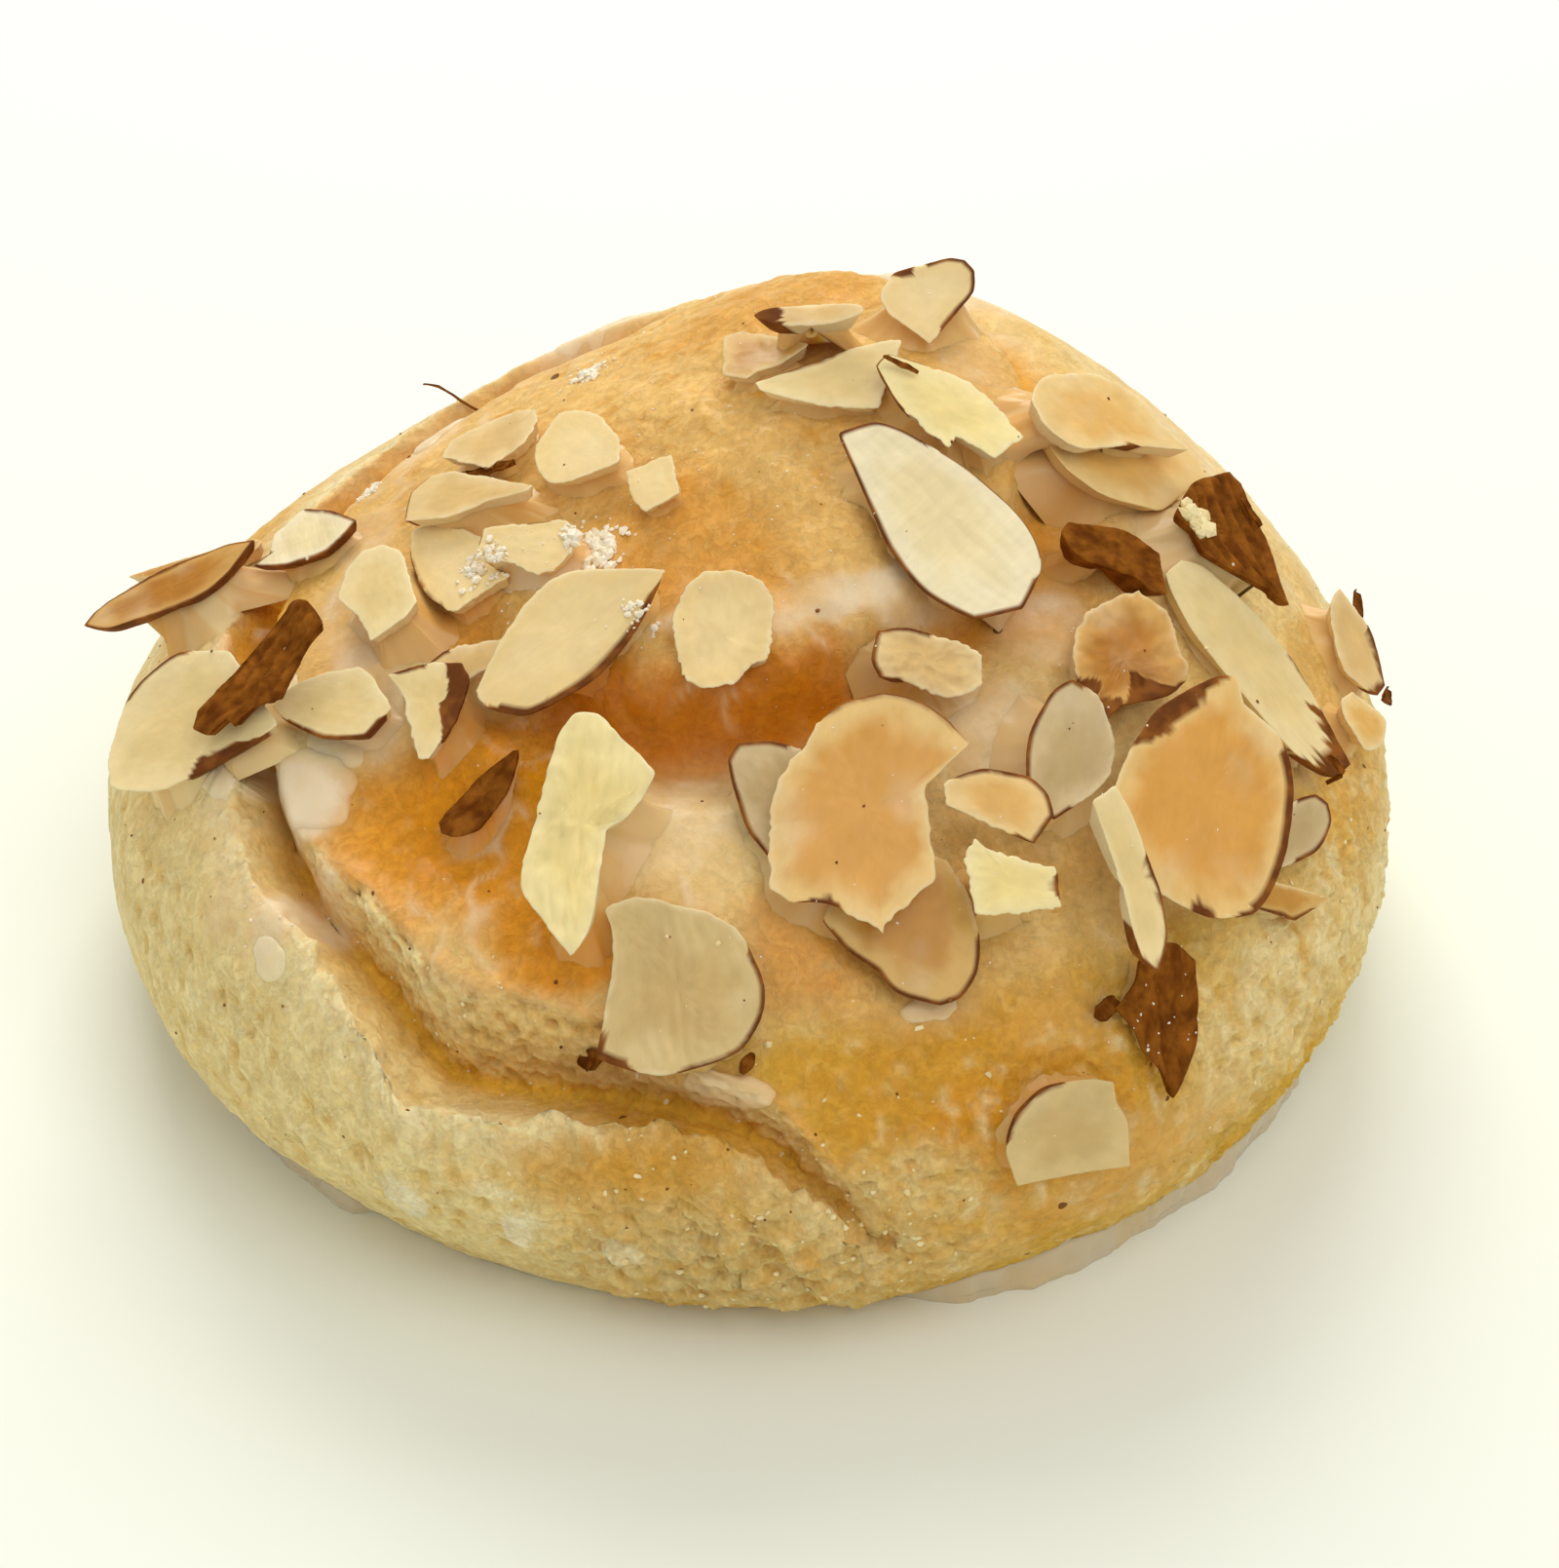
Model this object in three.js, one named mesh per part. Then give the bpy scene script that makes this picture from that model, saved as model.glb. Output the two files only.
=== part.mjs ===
// Butterhorn danish: a coiled, glazed bun topped with sliced almonds, resting on its flat underside.
// Millimetres, +Z up. The origin is on the table, under the middle of the bun, and -Y is the front.
import * as THREE from "three";

// Overall sizes of the bun
const BUN_RADIUS = 51;
const BELLY_HEIGHT = 12.8;
const CAP_HEIGHT = 38.5;
const FOOT_TUCK = 0.1;
const FOOT_DROP = 120;
const CAP_ROUNDNESS = 0.83;
const SHOULDER_FULLNESS = 1.14;

// The wound-up heart of the coil, which rises behind and to the right of the middle
const HEART = { x: 11, y: 11.5, rise: 17, spread: 32 };

// The plan is a little wider than deep, and a little uneven
const PLAN_WAVES = [
  { lobes: 2, cosine: 0.043, sine: 0.002 },
  { lobes: 3, cosine: -0.009, sine: 0.008 },
];

// The seam between the turns of the rope. It starts at the tail, low at the front, and winds inwards by the
// left and the back, once and a quarter round. Each stop has a bearing, a drop from the top in degrees along
// the crust, the depth of the groove, and the width of the torn wall on the groove's inner side, in degrees.
const SEAM = [
  { bearing: 284, drop: 95, depth: 0, wall: 4 },
  { bearing: 278, drop: 88, depth: 1.8, wall: 7 },
  { bearing: 272, drop: 79, depth: 2.8, wall: 9 },
  { bearing: 264, drop: 73.5, depth: 3.2, wall: 8 },
  { bearing: 256, drop: 73, depth: 3.8, wall: 10.5 },
  { bearing: 246, drop: 76, depth: 4.6, wall: 14 },
  { bearing: 240, drop: 77, depth: 5, wall: 15 },
  { bearing: 234, drop: 70.5, depth: 4.8, wall: 11 },
  { bearing: 226, drop: 65, depth: 4.6, wall: 8 },
  { bearing: 216, drop: 61, depth: 4.4, wall: 5.5 },
  { bearing: 204, drop: 55, depth: 4, wall: 4 },
  { bearing: 180, drop: 50, depth: 3.2, wall: 4 },
  { bearing: 150, drop: 44, depth: 2.8, wall: 4 },
  { bearing: 114, drop: 37, depth: 2.4, wall: 4 },
  { bearing: 60, drop: 31, depth: 2, wall: 5 },
  { bearing: 0, drop: 30, depth: 2, wall: 5 },
  { bearing: -60, drop: 30, depth: 2.4, wall: 6 },
  { bearing: -80, drop: 32, depth: 3, wall: 6 },
  { bearing: -105, drop: 33.5, depth: 3.4, wall: 6.5 },
  { bearing: -135, drop: 32, depth: 2.8, wall: 6 },
  { bearing: -165, drop: 31, depth: 0, wall: 6 },
];
const OUTER_FLANK = 2.6;
const INNER_FLANK = 7;
const LIP_FADE = 13;
const CREST_FADE = 9;
const OUTER_TURN = { lip: 0.42, crest: 0.16 };
const INNER_TURN = { lip: 0.2, crest: 0.5 };

// Broad swells and hollows of the crust: a bearing, a drop, a height, and the reach each way in degrees
const SWELLS = [
  { bearing: 229, drop: 46, height: -2.4, across: 15, down: 8 },
  { bearing: 264, drop: 49, height: 1.7, across: 13, down: 8 },
  { bearing: 300, drop: 62, height: 1, across: 22, down: 9 },
  { bearing: 20, drop: 60, height: 0.9, across: 26, down: 10 },
  { bearing: 95, drop: 66, height: 1, across: 30, down: 10 },
  { bearing: 232, drop: 92, height: 0.8, across: 20, down: 12 },
];
const TORN_PATCH = { bearing: 272, drop: 96, across: 16, down: 13, height: 0.9 };

// The fineness of the bun's surface, and the rings of its grid that follow the outer turn of the seam:
// the torn wall's top, the bottom of the groove, and the lip outside it
const BEARING_STEPS = 75;
const DROP_STEPS = 50;
const RINGS = { wallTop: 26, groove: 30, lip: 31 };
const FOLLOWED = { from: 130, to: 270, leadIn: 110, leadOut: 60 };

// Almond slices: sizes that they share
const SLICE_RIM_POINTS = 15;
const SLICE_INNER_RING = 0.58;
const SLICE_CLEARANCE = 0.34;
const CRISP_TURN = 42;
const DESCENT = { from: 9, to: -3, step: 0.08 };

const radians = THREE.MathUtils.degToRad;

// The kinds of cut: thickness, how far the long ends curl up, how pointed the tip is, how uneven the rim is,
// the straight cuts (a direction from the tip in degrees, and how far out it lies as a share of the half
// size that way), and the bites out of the rim (a direction, a depth as a share, and a reach in degrees).
const CUTS = {
  whole: { thick: 1.3, curl: 0.3, taper: 0.55, uneven: 0.015, cuts: [], bites: [] },
  oval: { thick: 1.3, curl: 0.3, taper: 0.15, uneven: 0.02, cuts: [], bites: [] },
  half: { thick: 1.2, curl: 0.2, taper: 0.25, uneven: 0.03, cuts: [[180, 0.4]], bites: [] },
  moon: { thick: 1.4, curl: 0.3, taper: 0.2, uneven: 0.02, cuts: [[90, 0.25]], bites: [] },
  shard: { thick: 1.2, curl: 0.3, taper: 0.2, uneven: 0.07, cuts: [[70, 0.62], [200, 0.75]], bites: [] },
  chunk: { thick: 3.2, curl: 0, taper: 0, uneven: 0.07, cuts: [[40, 0.8], [165, 0.85], [260, 0.8]], bites: [] },
  skin: { thick: 0.9, curl: 1, taper: 0.5, uneven: 0.1, cuts: [], bites: [[100, 0.25, 30]] },
  sliver: { thick: 2, curl: 0.4, taper: 0.1, uneven: 0.03, cuts: [], bites: [] },
};

// Every almond piece, lowest of each overlap first: its name, kind, bearing, drop, heading, tip, roll, length
// and width, and what sets it apart from its kind. It lies at a bearing and a drop, its tip points along a
// heading (0 downhill, 90 towards a growing bearing), and its tip end is raised by tip and its side by roll.
const ALMONDS = [
  // the crown
  ["crown_glazed", "shard", 75, 8, 88, 0, 0, 7, 6],
  ["crown_sliver", "sliver", 41, 9.7, 136, 1, -13, 8.5, 2],
  ["crown_half", "half", 32, 21, 21, 33, 17, 8, 6],
  ["crown_sail", "moon", 15, 10, 4, 2, 8, 11, 5, { cuts: [[270, 0.3]] }],
  ["crown_notched", "oval", 354, 18, 158, 1, -6, 11.5, 5.5, { bites: [[95, 0.3, 18]] }],
  ["teardrop", "whole", 324, 22, 177, 1, -3, 19, 10, { taper: 0.75 }],
  // the right side
  ["east_flat_low", "oval", 2, 35, -155, 0, 0, 18.5, 8],
  ["east_flat_top", "moon", 7, 33, -161, 0, 0, 16.5, 8, { cuts: [[90, 0.55]] }],
  ["east_skin_chunk", "chunk", 344, 35, -164, -2, -3, 8.5, 5, { thick: 2.4 }],
  ["east_long", "whole", 344, 51, -10, 2, 9, 20.5, 8, { taper: 0.3 }],
  ["east_shield", "skin", 357, 44, 132, 1, -4, 11, 9.5],
  ["east_chunk", "chunk", 329, 40, -84, -3, 1, 12, 8, { thick: 2.4 }],
  ["grey_slice", "whole", 314, 42, 133, 3, -2, 10.5, 6.5],
  ["east_edge_mid", "half", 333, 64, 71, 8, 0, 9.5, 5],
  ["east_edge_low", "half", 327, 68, 56, 4, 1, 11.5, 3.5],
  ["east_oval", "oval", 324, 53, 129, 7, -7, 16.5, 13.5],
  ["rim_stub", "half", 0, 64, 130, 10, -31, 9, 5.5],
  ["rim_low", "chunk", 351, 66, 177, -8, -15, 5.5, 4.5, { thick: 1.6 }],
  // the front
  ["crest_chunk", "chunk", 302, 31, -131, 0, -2, 8, 6.5],
  ["small_caramel", "shard", 300, 44, -125, -1, -3, 7.5, 4.5],
  ["drip_slice", "whole", 287, 53, 24, -1, 1, 12, 9.5],
  ["under_caramel", "half", 274, 38, -156, 3, -1, 11, 5.5],
  ["big_caramel", "oval", 285, 41, 153, 6, 0, 17, 12, { cuts: [[175, 0.85]], bites: [[275, 0.22, 30]] }],
  ["cube", "chunk", 299, 52, -176, 2, -6, 6.5, 5.5],
  ["edge_sliver", "sliver", 308, 56, 167, 1, -2, 13.5, 3],
  ["skin_pod", "skin", 309, 72, -19, 0, 3, 11, 7],
  ["low_half", "half", 298, 80, -110, 0, 0, 10, 8, { cuts: [[180, 0.7], [90, 0.75]] }],
  ["front_slab", "oval", 264, 58, -178, 2, 1, 11.5, 11.5, { cuts: [[90, 0.8], [0, 0.85], [180, 0.88]] }],
  ["bright_chunk", "oval", 249, 44, 11, -4, -2, 17.5, 9, { thick: 2.2, bites: [[70, 0.45, 32]] }],
  ["round_flake", "shard", 265, 23, -178, 3, 1, 9.5, 7.5],
  // the left side
  ["half_moon", "moon", 237, 28, 152, 0, 9, 16.5, 9],
  ["n_flake", "shard", 172, 16, -34, 0, 0, 10.5, 7],
  ["n_square", "chunk", 213, 12, -89, 0, 0, 5, 5, { thick: 1.2 }],
  ["nw_yellow", "half", 192, 29, -69, 0, 0, 14, 6],
  ["nw_back", "shard", 158, 27, -10, 4, -3, 10.5, 6.5],
  ["nw_front", "half", 180, 26, -21, 3, -3, 12, 5.5],
  ["nw_fragment", "shard", 208, 22, -53, 3, -2, 9.5, 5.5],
  ["west_glazed", "shard", 194, 35, -52, 0, 0, 9.5, 8.5],
  ["west_small", "half", 213.5, 35, -27, 1, -3, 9, 5.5],
  ["west_skin_low", "skin", 232, 42, 171, 1, 3, 8.5, 3, { curl: 0.5 }],
  ["west_wedge", "half", 221.5, 38.5, 63, -3, -1, 8, 6],
  ["west_glazed_half", "moon", 205, 44, -48, 3, -3, 12.5, 6.5],
  ["west_half", "half", 172, 42, -166, -4, 16, 7.5, 6.5],
  ["west_spike", "sliver", 168, 59, -10, 8, -8, 15.5, 2.5, { thick: 1.2, taper: 0.8 }],
  ["west_blade", "whole", 176, 57, 7, 12, -27, 16, 4.5],
  ["west_big", "oval", 194, 56, -148, 6, 10, 12.5, 14],
  ["west_skin", "skin", 199, 48, -160, 2, 8, 12.5, 7],
  // the back
  ["back_oval", "oval", 84, 63, 95, 0, 0, 14, 9],
  ["back_half", "half", 63, 72, 78, 1, -3, 10, 7],
  ["back_long", "whole", 104, 74, 96, 0, 0, 16, 7.5],
  ["back_chunk", "chunk", 79, 80, 20, 0, 0, 6.5, 5.5, { thick: 2.4 }],
  ["back_moon", "moon", 52, 82, 100, 0, 2, 12, 6.5],
  ["back_skin", "skin", 94, 87, 104, 0, 0, 9.5, 5],
  ["back_flake", "shard", 113, 86, 70, 0, 0, 9, 6],
].map(([name, cut, bearing, drop, heading, tip, roll, long, wide, own], order) => ({
  name, cut, bearing, drop, heading, tip, roll, long, wide, order, ...CUTS[cut], ...own,
}));

// The view in which the broken outlines below were measured: from the front, looking down by an angle, from
// a distance to a point above the table.
const VIEW = { lean: 40, distance: 300, height: 15 };

// The outlines of the pieces that broke in their own way: points to the right of the piece's hub and above
// it, in that view, anticlockwise. The outline is smooth through them, apart from crisp corners.
const OUTLINES = {
  teardrop: [
    [8.4, -4.2], [8, -1.8], [6.5, 0.6], [2.2, 4.5], [-3.2, 7.6], [-5.4, 8.1], [-8.3, 7.1],
    [-3.9, -2.8], [-1, -6.3], [2.9, -8.4], [6.8, -7.5],
  ],
  crown_half: [
    [3.9, 2.7], [3.1, 3.6], [1.9, 3.8], [-2.8, 2.4], [-3.9, 0.8], [-3.2, -1.2], [0.1, -3.6], [3.8, 1],
  ],
  crown_glazed: [
    [3.7, 0], [1.8, 1.1], [-2, 1.7], [-3.4, 1.2], [-3.6, -2.2], [-1.5, -2.6], [-0.6, -2], [1.1, -1.6],
  ],
  crown_sail: [[4.7, 3.3], [0.7, 2.8], [-7.5, -0.5], [-7.1, -1.1], [-2.2, -2.3], [2.7, -2.5]],
  crown_notched: [
    [6.8, -3.1], [2.7, 1.7], [-4.2, 4], [-5.2, 3], [-2.9, -0.8], [0.8, -3.8], [1.3, -2.8], [4.4, -4.8],
  ],
  round_flake: [
    [4.5, 2.3], [3.2, 3.7], [1.2, 4.5], [-1.2, 4.5], [-2.7, 3.3], [-3.9, 1.2], [-3.1, -4],
    [-1.1, -5.3], [1.5, -4.7], [2.3, -3.3], [3.9, -2.7],
  ],
  half_moon: [
    [6.5, 0.4], [8.4, 4.6], [0.2, 4.6], [-4.2, 0.7], [-7.1, -5.4], [-6.2, -6.8], [-3.2, -7.4],
    [2.8, -4.2],
  ],
  nw_fragment: [
    [3.4, 0.6], [3.2, 1.8], [1.8, 2.6], [-4.6, 1.9], [-5.3, -0.4], [-4.3, -0.9], [-2.6, -0.9],
    [0.1, -2.1], [1.4, -1.8],
  ],
  nw_yellow: [
    [3.8, 0.2], [1.1, 1.9], [1.1, 3.9], [-3, 5.1], [-5, 4.5], [-5, 2.4], [-3.3, -1.1], [-0.7, -2.7],
  ],
  nw_front: [
    [4, 0.1], [-3.3, 2], [-5.2, 1.6], [-6.7, 0.2], [-7.1, -2.3], [-3.3, -2.1], [0.1, -0.9],
    [3.6, -0.3],
  ],
  nw_back: [[4, 1.2], [3.7, 2], [2, 2.3], [-3.6, -0.1], [-4.3, -1.6], [0, -2.8], [3.1, -0.9]],
  n_flake: [
    [3.1, 0.1], [1.1, 2.6], [-0.6, 3.1], [-2.2, 2.9], [-4.1, 0], [-3.8, -2.2], [-2.8, -3.3],
    [-1.1, -3.3], [3.1, -2],
  ],
  n_square: [[2.7, -1.1], [2, 2.3], [-1.9, 0.9], [-1.2, -1.6], [-0.1, -2.7]],
  west_glazed: [
    [3.5, -0.6], [1.6, 4], [-0.2, 4.6], [-1.8, 3.9], [-3.2, 2], [-3.6, -0.1], [-1.6, -1.8],
    [-0.4, -3.7], [2.7, -1.8],
  ],
  west_half: [
    [5, 1.6], [2.7, 2.6], [0.2, 2.9], [-2.2, 0.7], [-2.4, -1.1], [-3.6, -2.2], [-1.1, -2.1],
    [2.7, -0.8],
  ],
  west_glazed_half: [
    [6.3, 1.3], [4.3, 4.2], [2.1, 4.9], [-2.3, 3.6], [-4.2, 1.7], [-3.2, 0.6], [0.5, -1], [4.3, -0.9],
  ],
  west_small: [[4.5, 1.9], [2.9, 2.3], [-1.8, 1.5], [-4.4, -1], [-3.9, -3.3], [-1.9, -2.2], [3.9, 1]],
  west_wedge: [
    [3, 2.2], [2.3, 3.3], [-0.7, 3.2], [-3.9, 2.3], [-2.8, 0.9], [-1.1, -4.5], [-0.3, -4.6],
    [1.8, -1.6],
  ],
  west_big: [[8.8, -2.3], [4.3, 3.6], [-0.4, 3.8], [-4.8, 0.2], [-5.9, -5.3], [-5.4, -7.5], [-0.4, -7.6]],
  west_skin: [
    [6.5, 3.5], [5.2, 5.2], [3.8, 5.4], [-4.1, -3.5], [-4.2, -5.1], [-2.9, -5.7], [-1.5, -4.2],
    [-0.7, -4.8], [0.8, -3.1], [3, -2.4], [5.2, 2.2],
  ],
  west_blade: [[7.7, 3.1], [5.4, 2.9], [-1.1, 0.6], [-5.9, -2.6], [-6.7, -3.8], [-5, -4.1], [3.5, -1.3]],
  east_flat_top: [
    [5.8, -2.1], [0.4, 3.2], [-2, 4.2], [-6.4, 3.5], [-7.7, 2.2], [-8.1, 0.7], [-7.4, -0.9],
    [-4.2, -2.7], [0.7, -2],
  ],
  east_flat_low: [
    [7.3, -1.1], [6.5, 0.7], [0.9, 4.6], [-3.7, 4.6], [-6.9, 3.6], [-7.7, 2.4], [-5.8, -0.9],
    [-1.8, -3.4], [3.1, -4.2],
  ],
  east_skin_chunk: [
    [3.2, -0.7], [0.3, 1.1], [-4.7, 1.6], [-5.3, 0.8], [-4.7, -0.4], [-2.7, -1.7], [0.8, -2.8],
    [2.2, -3.9], [3.6, -4.2],
  ],
  east_shield: [
    [4, -1.6], [1.6, 4.3], [0.5, 5.1], [-3, 3.8], [-4.6, 1.2], [-3.2, 0.1], [-2.4, -1.8], [3.3, -5.3],
    [4.3, -6.6],
  ],
  east_chunk: [
    [5.7, -0.9], [4.9, 0.5], [4.4, 3.3], [1.7, 5.5], [-2.2, 4], [-4.3, 0.6], [-3.6, -3.6],
    [-3.8, -5.9], [-1.9, -5.7], [-0.2, -4.3], [3.6, -3.4], [5.4, -2.1],
  ],
  east_long: [
    [3.7, 0.1], [-0.4, 5.2], [-4.8, 8.6], [-6.6, 9], [-8.1, 7.8], [-5.8, 3.1], [3, -7.1], [6.2, -9],
    [7.7, -7.9],
  ],
  rim_stub: [[1.7, -1.3], [0.7, 3.3], [-2.1, 6.7], [-2.8, 5.8], [-2.8, 3.6], [-1.8, -0.3], [0.9, -2.2]],
  rim_low: [[2, -0.5], [1.6, 0.7], [-1, 2.5], [-2, 2], [-2, 0.6], [-0.3, -2.1], [0.6, -2.4], [1.5, -1.8]],
  grey_slice: [
    [3.4, -0.4], [1.9, 3.5], [-0.1, 4.7], [-1.5, 3.9], [-3.7, 0.1], [-3.9, -4.5], [-2, -6.9],
    [2.5, -3.8],
  ],
  east_oval: [
    [6, 0.3], [4.9, 3.9], [1.9, 6.6], [1.5, 8.5], [-0.5, 8.7], [-5.1, 6.3], [-8.5, 1.5], [-9.6, -1.9],
    [-7.1, -8.2], [-1.9, -10.9], [1.9, -10.7], [3.6, -9], [5.4, -4.8],
  ],
  edge_sliver: [
    [2.2, -4.9], [2, -0.8], [-0.6, 6.1], [-1.9, 8], [-3.8, 6.7], [-1.6, 0.8], [0.2, -6.1], [1.4, -7.1],
  ],
  east_edge_mid: [
    [4.3, 1.8], [4, 3.1], [3, 3.8], [1.1, 3.4], [-1.5, 1], [-1.6, -1.1], [-0.6, -2.2], [2.9, -0.8],
  ],
  east_edge_low: [[6, -0.1], [0.2, 1.6], [-1.3, 1], [-2.1, -0.3], [2.6, -1.8]],
  bright_chunk: [
    [6.6, 4.3], [1.8, 9.1], [0.1, 9.2], [-1.4, 7.6], [-4.3, -3.6], [-4.1, -5.6], [0, -10.7],
    [1.4, -8.3], [2.6, -0.3], [4.7, 1.1],
  ],
  front_slab: [
    [7.3, 0.3], [5.2, 5], [2.6, 6.5], [-3.4, 7.7], [-6, 6.8], [-5.2, 4], [-6.5, -5.3], [-1.4, -6.8],
    [5.2, -4.8], [6.9, -2.3],
  ],
  big_caramel: [
    [4.7, 2.2], [8.3, 5.6], [5.7, 8.2], [2.4, 9.6], [-0.5, 9.4], [-3.2, 8.2], [-7.8, 0.9], [-8.1, -6],
    [-6.5, -7.4], [-3.2, -7.5], [1.1, -9.7], [1.8, -8.5], [5.5, -5.5],
  ],
  under_caramel: [
    [1.7, 2.9], [0.9, 5.7], [-1.9, 6.3], [-4.3, 6.1], [-5.1, 4.8], [-3.6, -0.7], [0.1, -5.3],
    [1.2, -3],
  ],
  drip_slice: [
    [5.9, -0.4], [5, 3.3], [3.3, 6.2], [-0.3, 7], [-4.3, 5.6], [-7.2, 1.3], [-5.2, -1], [-2.8, -2.7],
    [-1, -4.6], [2.5, -5.7], [4.3, -5], [5.6, -3],
  ],
  small_caramel: [[4.4, -1.3], [4, 0.5], [2.7, 1.9], [-1.6, 2.6], [-4.6, 1.3], [-4.4, -0.3], [2.8, -3.5]],
  cube: [[2.4, 1.4], [-3.4, 3.1], [-4.2, 3.8], [-4.9, 2.4], [-4.5, -2.2], [-1.2, -2.2], [2.6, -1.6]],
  crest_chunk: [
    [4.5, -1.6], [4.5, 0.8], [3, 1.8], [-1.9, 3.2], [-4.1, 3], [-4.6, 0.5], [-4, -1], [-1.9, -1.3],
    [1.4, -2.7], [3.2, -2.4],
  ],
  skin_pod: [
    [1.7, 5.7], [-0.2, 7.2], [-1.7, 7.2], [-3.2, 6.1], [-3.5, 4.2], [-5.1, 1.9], [-3.5, 0.1],
    [-2.6, -1.8], [-1.1, -3.5], [-0.4, -5.7], [2, -1.2],
  ],
  low_half: [
    [3.5, 1.7], [2.6, 3.3], [2.2, 5.1], [0.4, 5.4], [-3.7, 4.8], [-6.4, 2.1], [-7, -0.4], [-5.9, -3.4],
    [3.8, -2.2],
  ],
};

// Finishes
const CRUST = new THREE.MeshStandardMaterial({ color: 0xc9a05c, roughness: 0.5, metalness: 0 });
const ALMOND_FACE = new THREE.MeshStandardMaterial({ color: 0xe3cb98, roughness: 0.55, metalness: 0 });
const ALMOND_SKIN = new THREE.MeshStandardMaterial({ color: 0x6e3a16, roughness: 0.7, metalness: 0 });

function smooth(value) {
  return THREE.MathUtils.smoothstep(value, 0, 1);
}

// The shortest way round from one bearing to another, in degrees.
function turnBetween(from, to) {
  return ((to - from + 540) % 360) - 180;
}

// One value of the seam at a bearing on its long way round, on a smooth curve through the stops.
function seamValue(bearing, key) {
  let i = 1;
  while (i < SEAM.length - 1 && SEAM[i].bearing > bearing) i += 1;
  const start = SEAM[i - 1];
  const end = SEAM[i];
  const before = SEAM[Math.max(i - 2, 0)];
  const after = SEAM[Math.min(i + 1, SEAM.length - 1)];
  const span = end.bearing - start.bearing;
  const share = (bearing - start.bearing) / span;
  const slopeIn = ((end[key] - before[key]) / (end.bearing - before.bearing)) * span;
  const slopeOut = ((after[key] - start[key]) / (after.bearing - start.bearing)) * span;
  const square = share * share;
  const cube = square * share;
  return (
    (2 * cube - 3 * square + 1) * start[key] +
    (cube - 2 * square + share) * slopeIn +
    (3 * square - 2 * cube) * end[key] +
    (cube - square) * slopeOut
  );
}

// The groove, its torn wall and its lip, for one pass of the seam over this bearing.
function seamRelief(passBearing, drop) {
  if (passBearing > SEAM[0].bearing || passBearing < SEAM[SEAM.length - 1].bearing) return 0;
  const depth = Math.max(seamValue(passBearing, "depth"), 0);
  const wall = seamValue(passBearing, "wall");
  const inward = smooth((120 - passBearing) / 80);
  const flank = THREE.MathUtils.lerp(OUTER_FLANK, INNER_FLANK, inward);
  const lip = depth * THREE.MathUtils.lerp(OUTER_TURN.lip, INNER_TURN.lip, inward);
  const crest = depth * THREE.MathUtils.lerp(OUTER_TURN.crest, INNER_TURN.crest, inward);
  const past = drop - seamValue(passBearing, "drop");
  if (past >= 0) {
    if (past < flank) return THREE.MathUtils.lerp(-depth, lip, smooth(past / flank));
    return lip * Math.exp(-(((past - flank) / LIP_FADE) ** 2));
  }
  if (-past < wall) return THREE.MathUtils.lerp(-depth, crest, smooth(-past / wall));
  return crest * Math.exp(-(((-past - wall) / CREST_FADE) ** 2));
}

// How far the crust stands out from the plain dome at a bearing and a drop.
function relief(bearing, drop) {
  let height = seamRelief(bearing, drop) + seamRelief(bearing - 360, drop);
  for (const swell of SWELLS) {
    const across = turnBetween(swell.bearing, bearing) / swell.across;
    const down = (drop - swell.drop) / swell.down;
    height += swell.height * Math.exp(-(across ** 2) - down ** 2);
  }
  const across = turnBetween(TORN_PATCH.bearing, bearing) / TORN_PATCH.across;
  const down = (drop - TORN_PATCH.drop) / TORN_PATCH.down;
  const crags = Math.sin(bearing * 0.9 + drop * 0.4) * Math.cos(drop * 0.75 - bearing * 0.3);
  height += TORN_PATCH.height * crags * Math.exp(-(across ** 2) - down ** 2);
  height += 0.35 * Math.sin(radians(bearing * 5 + 40)) * Math.sin(radians(drop * 5));
  return height * smooth(drop / 12) * smooth((FOOT_DROP - drop) / 14);
}

// A point of the plain dome: drop 0 is the top, 90 the belly, and FOOT_DROP the edge of the underside.
function domePoint(bearing, drop) {
  const turn = radians(bearing);
  const fall = radians(drop);
  let radius = BUN_RADIUS;
  for (const wave of PLAN_WAVES) {
    const swing = wave.cosine * Math.cos(wave.lobes * turn) + wave.sine * Math.sin(wave.lobes * turn);
    radius += BUN_RADIUS * swing;
  }
  const sine = Math.sin(fall);
  const cosine = Math.cos(fall);
  let out = radius * Math.abs(sine) ** SHOULDER_FULLNESS;
  let z = BELLY_HEIGHT + (CAP_HEIGHT - BELLY_HEIGHT) * Math.max(cosine, 0) ** CAP_ROUNDNESS;
  let heart = 1 - Math.abs(sine) ** 6;
  if (drop > 90) {
    out = radius * (1 - (FOOT_TUCK * (1 - sine)) / (1 - Math.sin(radians(FOOT_DROP))));
    z = BELLY_HEIGHT * (1 - cosine / Math.cos(radians(FOOT_DROP)));
    heart = 0;
  }
  const x = out * Math.cos(turn);
  const y = out * Math.sin(turn);
  const away = ((x - HEART.x) ** 2 + (y - HEART.y) ** 2) / HEART.spread ** 2;
  return new THREE.Vector3(x, y, z + HEART.rise * Math.exp(-away) * heart);
}

// The way out of the dome, downhill, and round it towards a growing bearing, at right angles to each other.
function domeFrame(bearing, drop) {
  const nudge = 0.05;
  const here = domePoint(bearing, drop);
  const down = domePoint(bearing, drop + nudge).sub(here).normalize();
  const round = domePoint(bearing + nudge, drop).sub(here).normalize();
  const out = down.clone().cross(round).normalize();
  const square = out.clone().cross(down).normalize();
  return { here, down, round: square, out };
}

function crustPoint(bearing, drop) {
  const frame = domeFrame(bearing, drop);
  return frame.here.addScaledVector(frame.out, relief(bearing, drop));
}

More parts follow.
